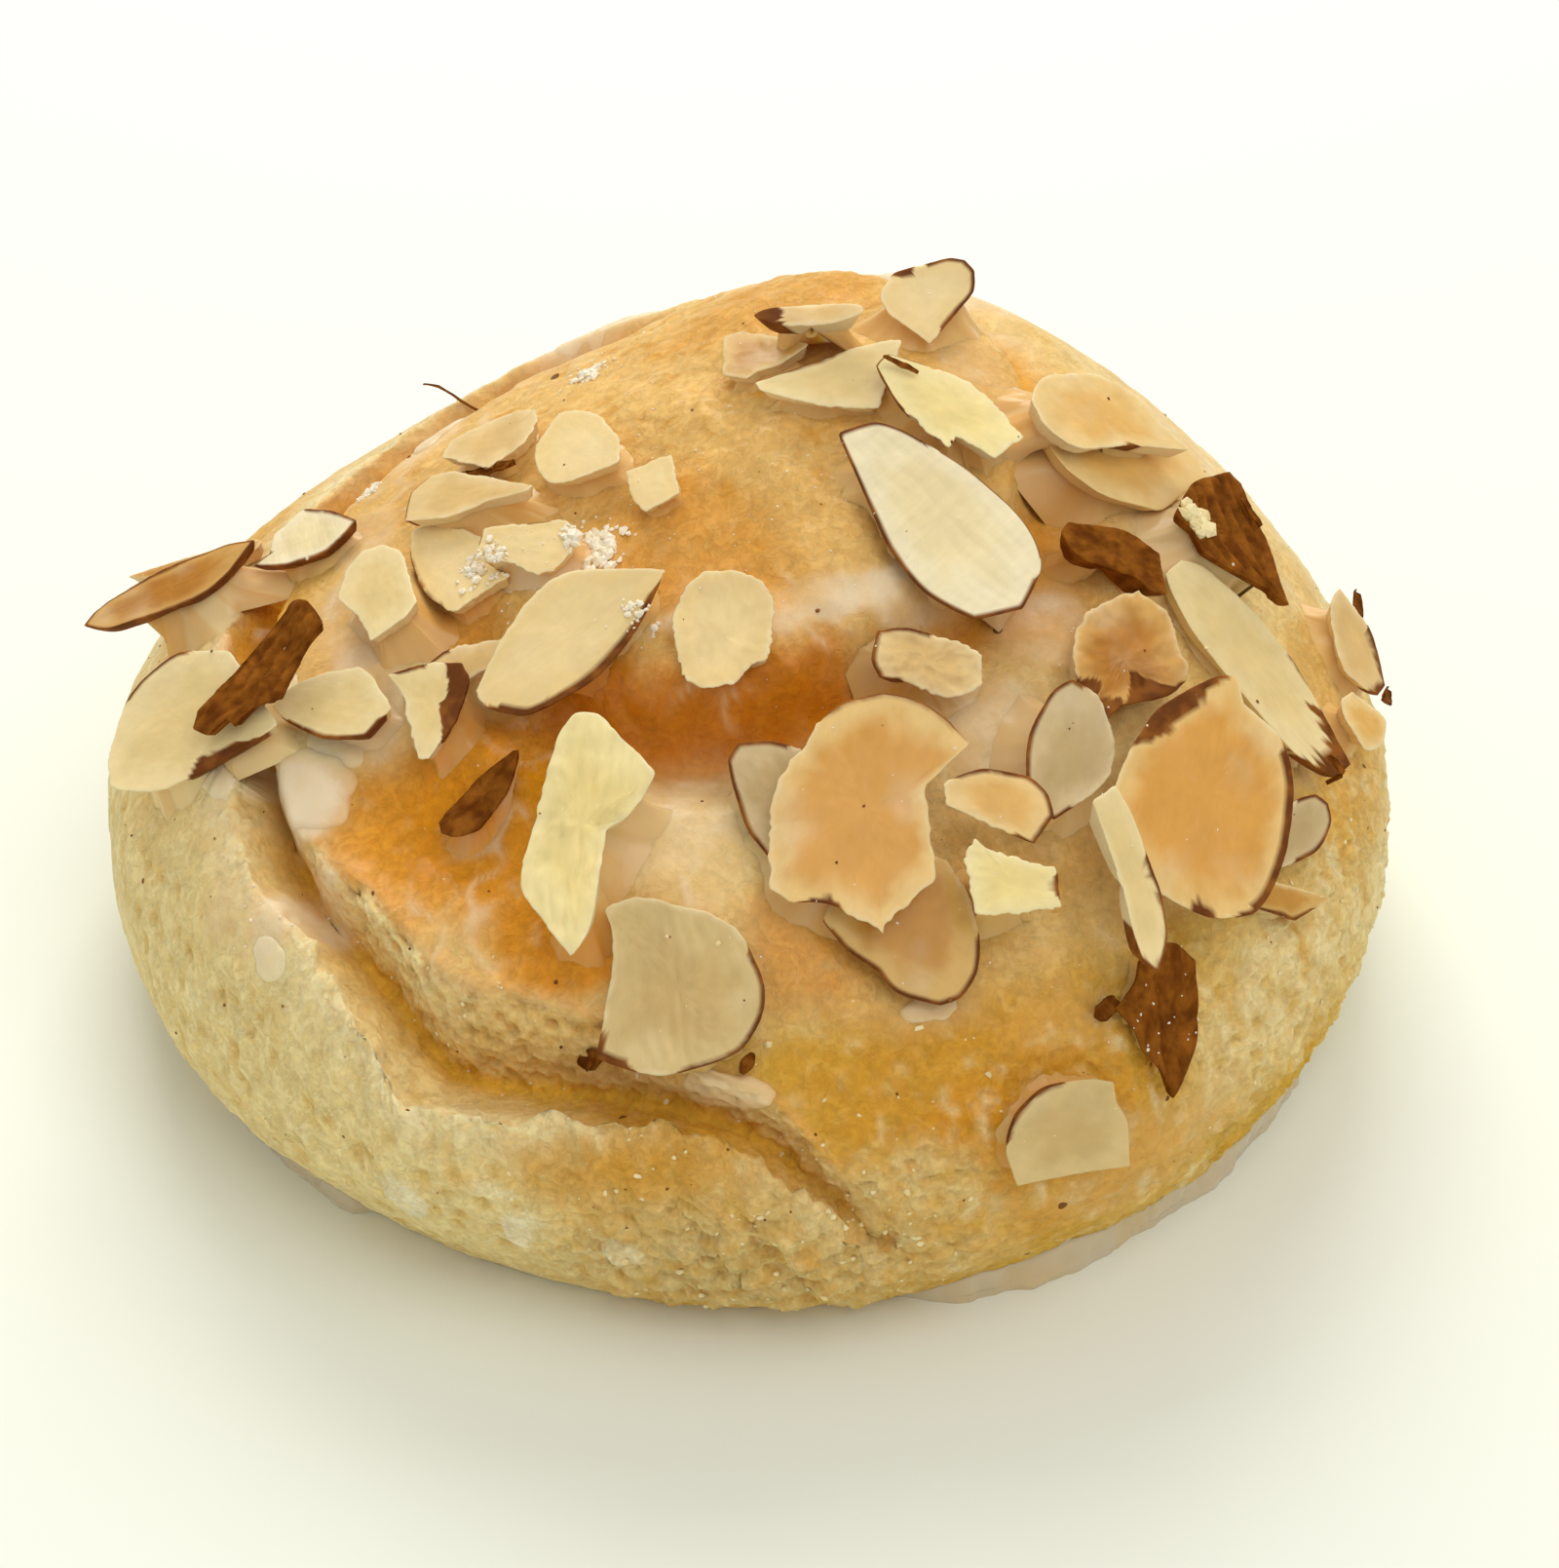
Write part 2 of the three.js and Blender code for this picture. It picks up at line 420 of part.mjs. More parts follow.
// The drop of a ring of the grid at a bearing. Rings bend with the seam so that its edges stay crisp.
function ringDrop(bearing, ring) {
  const even = FOOT_DROP / DROP_STEPS;
  const along = THREE.MathUtils.clamp(bearing, FOLLOWED.from, FOLLOWED.to);
  const before = (FOLLOWED.from - bearing) / FOLLOWED.leadIn;
  const beyond = (bearing - FOLLOWED.to) / FOLLOWED.leadOut;
  const loose = smooth(Math.max(before, beyond));
  const groove = THREE.MathUtils.lerp(seamValue(along, "drop"), RINGS.groove * even, loose);
  const wall = THREE.MathUtils.lerp(seamValue(along, "wall"), (RINGS.groove - RINGS.wallTop) * even, loose);
  const stops = [
    [0, 0],
    [RINGS.wallTop, groove - wall],
    [RINGS.groove, groove],
    [RINGS.lip, groove + OUTER_FLANK],
    [DROP_STEPS, FOOT_DROP],
  ];
  let i = 1;
  while (ring > stops[i][0]) i += 1;
  const share = (ring - stops[i - 1][0]) / (stops[i][0] - stops[i - 1][0]);
  return THREE.MathUtils.lerp(stops[i - 1][1], stops[i][1], share);
}

// A geometry from points and rows of three indices.
function solidFrom(points, faces) {
  const geometry = new THREE.BufferGeometry();
  const corners = points.flatMap((point) => [point.x, point.y, point.z]);
  geometry.setAttribute("position", new THREE.Float32BufferAttribute(corners, 3));
  geometry.setIndex(faces.flat());
  geometry.computeVertexNormals();
  return geometry;
}

function bunGeometry() {
  const points = [domePoint(0, 0)];
  const faces = [];
  const at = (ring, step) => 1 + (ring - 1) * BEARING_STEPS + (step % BEARING_STEPS);
  for (let ring = 1; ring <= DROP_STEPS; ring += 1) {
    for (let step = 0; step < BEARING_STEPS; step += 1) {
      const bearing = (360 * step) / BEARING_STEPS;
      const point = crustPoint(bearing, ringDrop(bearing, ring));
      point.z = ring === DROP_STEPS ? 0 : Math.max(point.z, 0.05);
      points.push(point);
    }
  }
  for (let step = 0; step < BEARING_STEPS; step += 1) {
    faces.push([0, at(1, step), at(1, step + 1)]);
    for (let ring = 1; ring < DROP_STEPS; ring += 1) {
      faces.push([at(ring, step), at(ring + 1, step), at(ring + 1, step + 1)]);
      faces.push([at(ring, step), at(ring + 1, step + 1), at(ring, step + 1)]);
    }
    if (step > 0 && step < BEARING_STEPS - 1) {
      faces.push([at(DROP_STEPS, 0), at(DROP_STEPS, step + 1), at(DROP_STEPS, step)]);
    }
  }
  return solidFrom(points, faces);
}

// A point of a slice's rim before it is brought to size: the tip is on +X, and the angle is measured from it.
function looseRimPoint(slice, angle) {
  const turn = radians(angle);
  const widest = Math.acos(-slice.taper / (2 + slice.taper));
  const fullest = Math.sin(widest) * Math.sin(widest / 2) ** slice.taper;
  const pinch = Math.abs(Math.sin(turn / 2)) ** slice.taper / fullest;
  const phase = slice.order * 2.4;
  const broad = Math.cos(3 * turn + phase);
  const mid = Math.cos(5 * turn + 2 * phase);
  const fine = Math.cos(8 * turn + 3 * phase);
  let scale = 1 + slice.uneven * (0.5 * broad + 0.3 * mid + 0.2 * fine);
  for (const [toward, depth, reach] of slice.bites) {
    scale *= 1 - depth * Math.exp(-((turnBetween(toward, angle) / reach) ** 2));
  }
  let x = (slice.long / 2) * Math.cos(turn) * scale;
  let y = (slice.wide / 2) * Math.sin(turn) * pinch * scale;
  for (const [toward, share] of slice.cuts) {
    const reachX = Math.cos(radians(toward));
    const reachY = Math.sin(radians(toward));
    const limit = share * 0.5 * Math.hypot(slice.long * reachX, slice.wide * reachY);
    const out = x * reachX + y * reachY;
    if (out > limit) {
      x *= limit / out;
      y *= limit / out;
    }
  }
  return { x, y };
}

// The fit that brings a slice's loose rim to its stated length and width, with their middle on the origin.
function rimFit(slice) {
  const rim = Array.from({ length: 90 }, (_, i) => looseRimPoint(slice, 4 * i));
  const low = { x: Math.min(...rim.map((p) => p.x)), y: Math.min(...rim.map((p) => p.y)) };
  const high = { x: Math.max(...rim.map((p) => p.x)), y: Math.max(...rim.map((p) => p.y)) };
  const scale = { x: slice.long / (high.x - low.x), y: slice.wide / (high.y - low.y) };
  return { scale, middle: { x: (low.x + high.x) / 2, y: (low.y + high.y) / 2 } };
}

// The rim of a slice of a plain kind, and its hub.
function plainRim(slice) {
  const { scale, middle } = rimFit(slice);
  const rim = Array.from({ length: SLICE_RIM_POINTS }, (_, i) => {
    const loose = looseRimPoint(slice, (360 * i) / SLICE_RIM_POINTS);
    return { x: (loose.x - middle.x) * scale.x, y: (loose.y - middle.y) * scale.y };
  });
  return { rim, hub: { x: -middle.x * scale.x, y: -middle.y * scale.y } };
}

// The slope of an outline at one of its points: none where it turns sharply, so that the corner is crisp.
function outlineSlope(outline, i) {
  const [ax, ay] = outline[(i + outline.length - 1) % outline.length];
  const [bx, by] = outline[i % outline.length];
  const [cx, cy] = outline[(i + 1) % outline.length];
  const before = THREE.MathUtils.radToDeg(Math.atan2(by - ay, bx - ax));
  const after = THREE.MathUtils.radToDeg(Math.atan2(cy - by, cx - bx));
  const softness = Math.abs(turnBetween(before, after)) < CRISP_TURN ? 0.5 : 0;
  return [(cx - ax) * softness, (cy - ay) * softness];
}

// A point of the smooth outline, at a share of the way from one of its points to the next.
function outlinePoint(outline, i, share) {
  const start = outline[i];
  const end = outline[(i + 1) % outline.length];
  const slopeIn = outlineSlope(outline, i);
  const slopeOut = outlineSlope(outline, i + 1);
  const square = share * share;
  const cube = square * share;
  return [0, 1].map((k) => (
    (2 * cube - 3 * square + 1) * start[k] +
    (cube - 2 * square + share) * slopeIn[k] +
    (3 * square - 2 * cube) * end[k] +
    (cube - square) * slopeOut[k]
  ));
}

// The points of an outline with more of them on its longest stretches, until the rim has all its points.
function fullOutline(outline) {
  const stretches = outline.map(([x, y], i) => {
    const [nextX, nextY] = outline[(i + 1) % outline.length];
    return { length: Math.hypot(nextX - x, nextY - y), steps: 1 };
  });
  for (let count = outline.length; count < SLICE_RIM_POINTS; count += 1) {
    const widest = stretches.reduce((a, b) => (b.length / b.steps > a.length / a.steps ? b : a));
    widest.steps += 1;
  }
  return stretches.flatMap(({ steps }, i) => (
    Array.from({ length: steps }, (_, step) => outlinePoint(outline, i, step / steps))
  ));
}

// The rim of a broken slice in its own plane, worked back from its outline in the front view, and its hub.
function brokenRim(slice, placing) {
  const lean = radians(VIEW.lean);
  const up = new THREE.Vector3(0, Math.sin(lean), Math.cos(lean));
  const { here, long, side } = placing;
  const away = VIEW.distance + here.y * Math.cos(lean) - (here.z - VIEW.height) * Math.sin(lean);
  const turnOver = long.x * side.dot(up) - side.x * long.dot(up);
  const scale = away / VIEW.distance / turnOver;
  const start = plainRim(slice).hub;
  const rim = fullOutline(OUTLINES[slice.name]).map(([right, above]) => ({
    x: start.x + (right * side.dot(up) - above * side.x) * scale,
    y: start.y + (above * long.x - right * long.dot(up)) * scale,
  }));
  const hub = { x: 0, y: 0 };
  for (const { x, y } of rim) {
    hub.x += x / rim.length;
    hub.y += y / rim.length;
  }
  return { rim, hub };
}

// How far the middle of a slice's thickness lies above its plane.
function curlHeight(slice, x) {
  return slice.curl * (((2 * x) / slice.long) ** 2 - 0.35);
}

function slicePoints(slice) {
  const { hub, rim } = slice;
  const points = [];
  for (const side of [-1, 1]) {
    const half = (side * slice.thick) / 2;
    points.push(new THREE.Vector3(hub.x, hub.y, curlHeight(slice, hub.x) + half));
    for (const share of [SLICE_INNER_RING, 1]) {
      for (const point of rim) {
        const x = THREE.MathUtils.lerp(hub.x, point.x, share);
        const y = THREE.MathUtils.lerp(hub.y, point.y, share);
        points.push(new THREE.Vector3(x, y, curlHeight(slice, x) + half));
      }
    }
  }
  return points;
}

function sliceFaces() {
  const faces = [];
  const n = SLICE_RIM_POINTS;
  const top = 1 + 2 * n;
  for (let i = 0; i < n; i += 1) {
    const j = (i + 1) % n;
    const under = [1 + i, 1 + j, 1 + n + i, 1 + n + j];
    const over = under.map((index) => index + top);
    faces.push([0, under[1], under[0]], [under[0], under[1], under[3]], [under[0], under[3], under[2]]);
    faces.push([top, over[0], over[1]], [over[0], over[3], over[1]], [over[0], over[2], over[3]]);
    faces.push([under[2], under[3], over[3]], [under[2], over[3], over[2]]);
  }
  return faces;
}

// The placing of a slice before it comes down: axes from its bearing, drop, heading, tip and roll.
function slicePlacing(slice) {
  const { here, down, round, out } = domeFrame(slice.bearing, slice.drop);
  const heading = radians(slice.heading);
  const tip = radians(slice.tip);
  const roll = radians(slice.roll);
  const flatLong = down.clone().multiplyScalar(Math.cos(heading)).addScaledVector(round, Math.sin(heading));
  const flatSide = out.clone().cross(flatLong);
  const long = flatLong.clone().multiplyScalar(Math.cos(tip)).addScaledVector(out, Math.sin(tip));
  const tipped = out.clone().multiplyScalar(Math.cos(tip)).addScaledVector(flatLong, -Math.sin(tip));
  const side = flatSide.clone().multiplyScalar(Math.cos(roll)).addScaledVector(tipped, Math.sin(roll));
  const face = tipped.clone().multiplyScalar(Math.cos(roll)).addScaledVector(flatSide, -Math.sin(roll));
  return { here, out, long, side, face };
}

function placedMatrix(placing, height) {
  const matrix = new THREE.Matrix4().makeBasis(placing.long, placing.side, placing.face);
  return matrix.setPosition(placing.here.clone().addScaledVector(placing.out, height));
}

// Points spread over a geometry: its corners, the middles of its edges and of its faces.
function surfaceSamples(geometry) {
  const corners = geometry.getAttribute("position");
  const index = geometry.getIndex();
  const samples = [];
  for (let i = 0; i < corners.count; i += 1) {
    samples.push(new THREE.Vector3().fromBufferAttribute(corners, i));
  }
  for (let i = 0; i < index.count; i += 3) {
    const [a, b, c] = [0, 1, 2].map((k) => samples[index.getX(i + k)]);
    samples.push(a.clone().add(b).add(c).divideScalar(3));
    samples.push(a.clone().add(b).multiplyScalar(0.5), b.clone().add(c).multiplyScalar(0.5));
  }
  return samples;
}

// Whether a point in a slice's own axes is inside it, or nearer than the clearance.
function touches(slice, rim, point) {
  const apart = slice.thick / 2 + SLICE_CLEARANCE;
  if (Math.abs(point.z - curlHeight(slice, point.x)) > apart) return false;
  let inside = false;
  for (let i = 0, j = rim.length - 1; i < rim.length; j = i, i += 1) {
    const [a, b] = [rim[i], rim[j]];
    const crosses = a.y > point.y !== b.y > point.y;
    if (crosses && point.x < ((b.x - a.x) * (point.y - a.y)) / (b.y - a.y) + a.x) inside = !inside;
  }
  return inside;
}

// A slice's rim, widened by the clearance.
function widenedRim({ hub, rim }) {
  return rim.map((point) => {
    const x = point.x - hub.x;
    const y = point.y - hub.y;
    const scale = SLICE_CLEARANCE / (Math.hypot(x, y) || 1);
    return { x: point.x + x * scale, y: point.y + y * scale };
  });
}

// Brings a slice down along the dome's outward line until it would come nearer than the clearance to the
// crust or to a slice that lies already, and gives the height at which it stops.
function restHeight(slice, placing, samples, laid) {
  const rim = widenedRim(slice);
  const reach = slice.long / 2 + DESCENT.from + 2;
  const near = samples.filter((point) => point.distanceTo(placing.here) < reach);
  const own = surfaceSamples(solidFrom(slicePoints(slice), sliceFaces()));
  const close = (other) => other.centre.distanceTo(placing.here) < reach + other.slice.long / 2;
  const neighbours = laid.filter(close);
  const point = new THREE.Vector3();
  let height = DESCENT.from;
  for (; height > DESCENT.to; height -= DESCENT.step) {
    const matrix = placedMatrix(placing, height);
    const inverse = matrix.clone().invert();
    if (near.some((sample) => touches(slice, rim, point.copy(sample).applyMatrix4(inverse)))) break;
    const meets = neighbours.some((other) => {
      const across = other.inverse.clone().multiply(matrix);
      return own.some((sample) => touches(other.slice, other.rim, point.copy(sample).applyMatrix4(across)));
    });
    if (meets) break;
  }
  return height + DESCENT.step;
}

function buildDanish() {
  const danish = new THREE.Group();
  const bun = new THREE.Mesh(bunGeometry(), CRUST);
  bun.name = "bun";
  danish.add(bun);

  const samples = surfaceSamples(bun.geometry);
  const laid = [];
  for (const piece of ALMONDS) {
    const placing = slicePlacing(piece);
    const shape = OUTLINES[piece.name] ? brokenRim(piece, placing) : plainRim(piece);
    const slice = { ...piece, ...shape };
    const geometry = solidFrom(slicePoints(slice), sliceFaces());
    const height = restHeight(slice, placing, samples, laid);
    const matrix = placedMatrix(placing, height);
    const mesh = new THREE.Mesh(geometry, slice.cut === "skin" ? ALMOND_SKIN : ALMOND_FACE);
    mesh.name = `almond_${slice.name}`;
    mesh.applyMatrix4(matrix);
    danish.add(mesh);
    samples.push(...surfaceSamples(geometry).map((point) => point.applyMatrix4(matrix)));
    laid.push({ slice, rim: widenedRim(slice), inverse: matrix.clone().invert(), centre: placing.here });
  }
  return danish;
}

export default buildDanish();
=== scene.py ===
"""The looks of a butterhorn danish: crust, crumb, sugar glaze and sliced almonds, dressed over its solids.

Lengths are in millimetres while a piece is worked out and become metres when its mesh is made. Places on
the bun are a bearing, in degrees round it from +X towards +Y, and a drop, in degrees from the top down
along the crust: 90 is the belly and 120 the edge of the underside.
"""

import logging
import math
from dataclasses import dataclass, field, replace
from enum import Enum
from itertools import product
from typing import Callable, Sequence

import bpy
import numpy as np
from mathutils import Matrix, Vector
from mathutils.bvhtree import BVHTree


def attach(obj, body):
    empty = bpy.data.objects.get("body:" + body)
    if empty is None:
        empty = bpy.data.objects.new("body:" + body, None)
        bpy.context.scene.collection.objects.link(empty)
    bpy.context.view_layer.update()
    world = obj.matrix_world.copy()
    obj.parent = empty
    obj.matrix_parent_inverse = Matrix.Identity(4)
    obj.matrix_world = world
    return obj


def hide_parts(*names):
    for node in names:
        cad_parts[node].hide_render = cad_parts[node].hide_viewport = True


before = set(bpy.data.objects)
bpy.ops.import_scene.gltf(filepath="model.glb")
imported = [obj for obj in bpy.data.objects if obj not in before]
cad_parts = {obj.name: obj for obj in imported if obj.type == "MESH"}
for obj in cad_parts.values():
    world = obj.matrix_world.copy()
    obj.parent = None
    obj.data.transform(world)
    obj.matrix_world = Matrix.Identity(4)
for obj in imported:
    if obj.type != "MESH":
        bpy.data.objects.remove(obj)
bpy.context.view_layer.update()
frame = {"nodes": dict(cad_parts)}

MM = 0.001
LOG = logging.getLogger("danish")

Colour = tuple[float, float, float]
Place = tuple[float, float, float]
Array = np.ndarray
Material = bpy.types.Material
Node = bpy.types.Node
Object = bpy.types.Object
Socket = bpy.types.NodeSocket


def screen(red: int, green: int, blue: int) -> Colour:
    """Turns a colour as a screen shows it into linear light."""
    shares = [value / 255 for value in (red, green, blue)]
    return tuple(s / 12.92 if s <= 0.04045 else ((s + 0.055) / 1.055) ** 2.4 for s in shares)


def ease(value: Array) -> Array:
    """Goes smoothly from 0 to 1 as the value does, and stays there outside."""
    held = np.clip(value, 0.0, 1.0)
    return held * held * (3 - 2 * held)


def blend(low: Array, high: Array, share: Array) -> Array:
    """Goes from low to high, numbers or tones, as the share goes from 0 to 1."""
    low, high = np.asarray(low), np.asarray(high)
    return low + (high - low) * share


def smooth_curve(start: Array, rise_in: Array, end: Array, rise_out: Array, share: Array) -> Array:
    """A smooth curve from start to end that leaves and arrives with the given rises."""
    square, cube = share**2, share**3
    early = (2 * cube - 3 * square + 1) * start + (cube - 2 * square + share) * rise_in
    return early + (3 * square - 2 * cube) * end + (cube - square) * rise_out


def bell(value: Array) -> Array:
    """A bell curve: 1 at 0, and nearly nothing beyond 2."""
    return np.exp(-(value**2))


def turn_between(start: Array, end: Array) -> Array:
    """The shortest way round from one bearing to another, in degrees."""
    return (end - start + 540) % 360 - 180


def unit(vectors: Array) -> Array:
    """Brings each vector to length 1."""
    lengths = np.linalg.norm(vectors, axis=-1, keepdims=True)
    return vectors / np.maximum(lengths, 1e-12)


class Noise:
    """Repeatable noise in space."""

    CORNERS = list(product((0, 1), repeat=3))
    AROUND = list(product((-1, 0, 1), repeat=3))
    MASK = 0xFFFFFFFF

    @classmethod
    def draws(cls, cells: Array, salt: int) -> Array:
        """One even draw for each cell of a lattice.

        Args:
            cells: Whole numbers, three for each cell.
            salt: Which of a cell's draws is wanted.

        Returns:
            Values from 0 to 1.
        """
        mixed = (cells[..., 0] * 73856093) ^ (cells[..., 1] * 19349663) ^ (cells[..., 2] * 83492791)
        mixed = (mixed + salt * 2654435761) & cls.MASK
        for _ in range(2):
            mixed = ((mixed ^ (mixed >> 16)) * 0x45D9F3B) & cls.MASK
        return (mixed ^ (mixed >> 16)) / cls.MASK

    @classmethod
    def waves(cls, points: Array, size: float, salt: int) -> Array:
        """Smooth noise, from about -1 to 1.

        Args:
            points: Places, three lengths each.
            size: The width of one wave.
            salt: Which noise it is.

        Returns:
            One value for each place.
        """
        scaled = points / size
        corner = np.floor(scaled)
        part = scaled - corner
        corner = corner.astype(np.int64)
        fade = part**3 * (part * (part * 6 - 15) + 10)
        total = np.zeros(points.shape[:-1])
        for offset in cls.CORNERS:
            cells = corner + np.array(offset)
            weight = np.prod(np.where(offset, fade, 1 - fade), axis=-1)
            for axis in range(3):
                slope = cls.draws(cells, salt * 8 + axis) * 2 - 1
                total += weight * slope * (part[..., axis] - offset[axis])
        return total * 1.9

    @classmethod
    def layers(cls, points: Array, size: float, salt: int, count: int = 3) -> Array:
        """Several sizes of noise on each other, each half as wide and half as strong as the last."""
        parts = [cls.waves(points, size / 2**i, salt + 50 * i) / 2**i for i in range(count)]
        return sum(parts) / (2 - 0.5 ** (count - 1))

    @classmethod
    def pores(cls, points: Array, size: float, salt: int) -> Array:
        """How far each place is from the nearest pore of a sponge.

        Args:
            points: Places, three lengths each.
            size: The mean distance between pores.
            salt: Which sponge it is.

        Returns:
            Shares of the size: 0 in the middle of a pore, near 1 between pores.
        """
        scaled = points / size
        home = np.floor(scaled).astype(np.int64)
        nearest = np.full(points.shape[:-1], 9.0)
        for offset in cls.AROUND:
            cells = home + np.array(offset)
            seeds = np.stack([cls.draws(cells, salt * 8 + axis) for axis in range(3)], axis=-1)
            away = np.linalg.norm(cells + seeds - scaled, axis=-1)
            nearest = np.minimum(nearest, away)
        return nearest


waves, layers, pores = Noise.waves, Noise.layers, Noise.pores


# The finishes' tones


class Tone:
    """The tones of the crust, glaze and almonds, in linear light."""

    STRAW = screen(238, 217, 156)
    PALE_BAND = screen(244, 228, 178)
    KNOB = screen(230, 184, 106)
    KNOB_DEEP = screen(214, 150, 58)
    GOLD = screen(214, 154, 44)
    DEEP_GOLD = screen(222, 146, 20)
    CARAMEL = screen(204, 122, 8)
    CRUMB = screen(248, 226, 166)
    # A deeper crumb tone: a little random darkening of the torn wall, and mostly painted shade in the pores
    # of the crumb.
    DEEP_CRUMB_AND_PORE_SHADE = screen(220, 170, 80)
    BUTTER = screen(216, 172, 70)
    CREVICE = screen(236, 186, 66)
    TORN = screen(232, 208, 146)
    UNDERSIDE = screen(168, 112, 54)
    ICING = screen(240, 226, 196)
    # Painted shade: a darker copy of the icing, for the foot that lies in the bun's shadow.
    SHADED_ICING = screen(208, 195, 170)
    PEEL = screen(238, 182, 112)
    ICING_THIN = screen(222, 182, 130)
    SUGAR = screen(250, 240, 218)
    BLISTER = screen(242, 230, 190)
    SKIN = screen(104, 54, 10)
    SKIN_LIGHT = screen(148, 88, 26)
    SKIN_DARK = screen(56, 26, 6)
    SPECK = screen(96, 50, 12)


class Crumbling(Enum):
    """How the edge of an almond piece is broken."""

    CLEAN = 0.05
    CHIPPED = 0.16
    RAGGED = 0.32


CLEAN, CHIPPED, RAGGED = Crumbling


# Making meshes


@dataclass
class Shell:
    """A mesh in the making: its points, its faces and what varies over its surface."""

    points: Array
    faces: Array
    tint: Array
    marks: dict[str, Array] = field(default_factory=dict)

    def make(self, name: str, material: Material, smooth: bool = True) -> Object:
        """Makes the object.

        Args:
            name: The piece's name.
            material: Its finish.
            smooth: Whether its facets blend into each other.

        Returns:
            The object, in metres, linked to the scene.
        """
        mesh = bpy.data.meshes.new(name)
        corners = self.faces.shape[1]
        mesh.vertices.add(len(self.points))
        mesh.vertices.foreach_set("co", (self.points * MM).astype(np.float32).ravel())
        mesh.loops.add(self.faces.size)
        mesh.loops.foreach_set("vertex_index", self.faces.astype(np.int32).ravel())
        mesh.polygons.add(len(self.faces))
        mesh.polygons.foreach_set("loop_start", np.arange(0, self.faces.size, corners, dtype=np.int32))
        mesh.polygons.foreach_set("use_smooth", np.full(len(self.faces), smooth))
        mesh.update(calc_edges=True)
        mesh.validate()
        rgba = np.ones((len(self.points), 4), dtype=np.float32)
        rgba[:, :3] = self.tint
        mesh.attributes.new("Tint", "FLOAT_COLOR", "POINT").data.foreach_set("color", rgba.ravel())
        for mark, values in self.marks.items():
            layer = mesh.attributes.new(mark, "FLOAT", "POINT")
            layer.data.foreach_set("value", np.asarray(values, dtype=np.float32))
        mesh.materials.append(material)
        piece = bpy.data.objects.new(name, mesh)
        bpy.context.scene.collection.objects.link(piece)
        return piece

    @staticmethod
    def joined(shells: Sequence["Shell"]) -> "Shell":
        """Joins shells with the same kinds of face and the same marks into one."""
        starts = np.cumsum([0] + [len(shell.points) for shell in shells[:-1]])
        return Shell(
            np.concatenate([shell.points for shell in shells]),
            np.concatenate([shell.faces + start for shell, start in zip(shells, starts)]),
            np.concatenate([shell.tint for shell in shells]),
            {mark: np.concatenate([shell.marks[mark] for shell in shells]) for mark in shells[0].marks},
        )


def ring_faces(rows: int, columns: int, closed: bool = True) -> Array:
    """The four-cornered faces of a grid of points, rows of columns.

    Args:
        rows: How many rows there are.
        columns: How many points are in a row.
        closed: Whether the last column meets the first.

    Returns:
        One row of four indices for each face.
    """
    steps = np.arange(columns if closed else columns - 1)
    ahead = (steps + 1) % columns
    starts = np.arange(rows - 1)[:, None] * columns
    corners = [starts + steps, starts + columns + steps, starts + columns + ahead, starts + ahead]
    return np.stack(corners, axis=-1).reshape(-1, 4)


def fan_faces(hub: int, start: int, count: int, flipped: bool = False) -> Array:
    """The three-cornered faces from a hub to a closed ring of points.

    Args:
        hub: The hub's index.
        start: The ring's first index.
        count: How many points the ring has.
        flipped: Whether the faces turn the other way.

    Returns:
        One row of three indices for each face.
    """
    steps = np.arange(count)
    ahead = (steps + 1) % count
    pair = [start + ahead, start + steps] if flipped else [start + steps, start + ahead]
    return np.stack([np.full(count, hub), *pair], axis=-1)


def split_quads(quads: Array) -> Array:
    """Cuts faces of four corners into faces of three."""
    return np.concatenate([quads[:, [0, 1, 2]], quads[:, [0, 2, 3]]])


def closed_faces(rings: int, count: int, flipped: bool = False) -> Array:
    """Faces over closed rings of points with one point before them and one after.

    Args:
        rings: How many rings there are.
        count: How many points a ring has.
        flipped: Whether the faces turn the other way.

    Returns:
        One row of three indices for each face.
    """
    quads = ring_faces(rings, count)[:, ::-1] if flipped else ring_faces(rings, count)
    last = rings * count + 1
    ends = fan_faces(0, 1, count, flipped), fan_faces(last, last - count, count, not flipped)
    return np.concatenate([ends[0], split_quads(quads + 1), ends[1]])


def plain_marks(count: int, gloss: float, icing: float = 0.0) -> dict[str, Array]:
    """The marks of a surface that is the same all over."""
    return {"Gloss": np.full(count, gloss), "Icing": np.full(count, icing)}


# The form of the crust, as in the solids


@dataclass(frozen=True)
class SeamStop:
    """A stop of the seam between the turns: its drop, the groove's depth, and its torn wall's width."""

    bearing: float
    drop: float
    depth: float
    wall: float


@dataclass(frozen=True)
class Swell:
    """A broad swell or hollow, with its reach each way in degrees."""

    bearing: float
    drop: float
    height: float
    across: float
    down: float


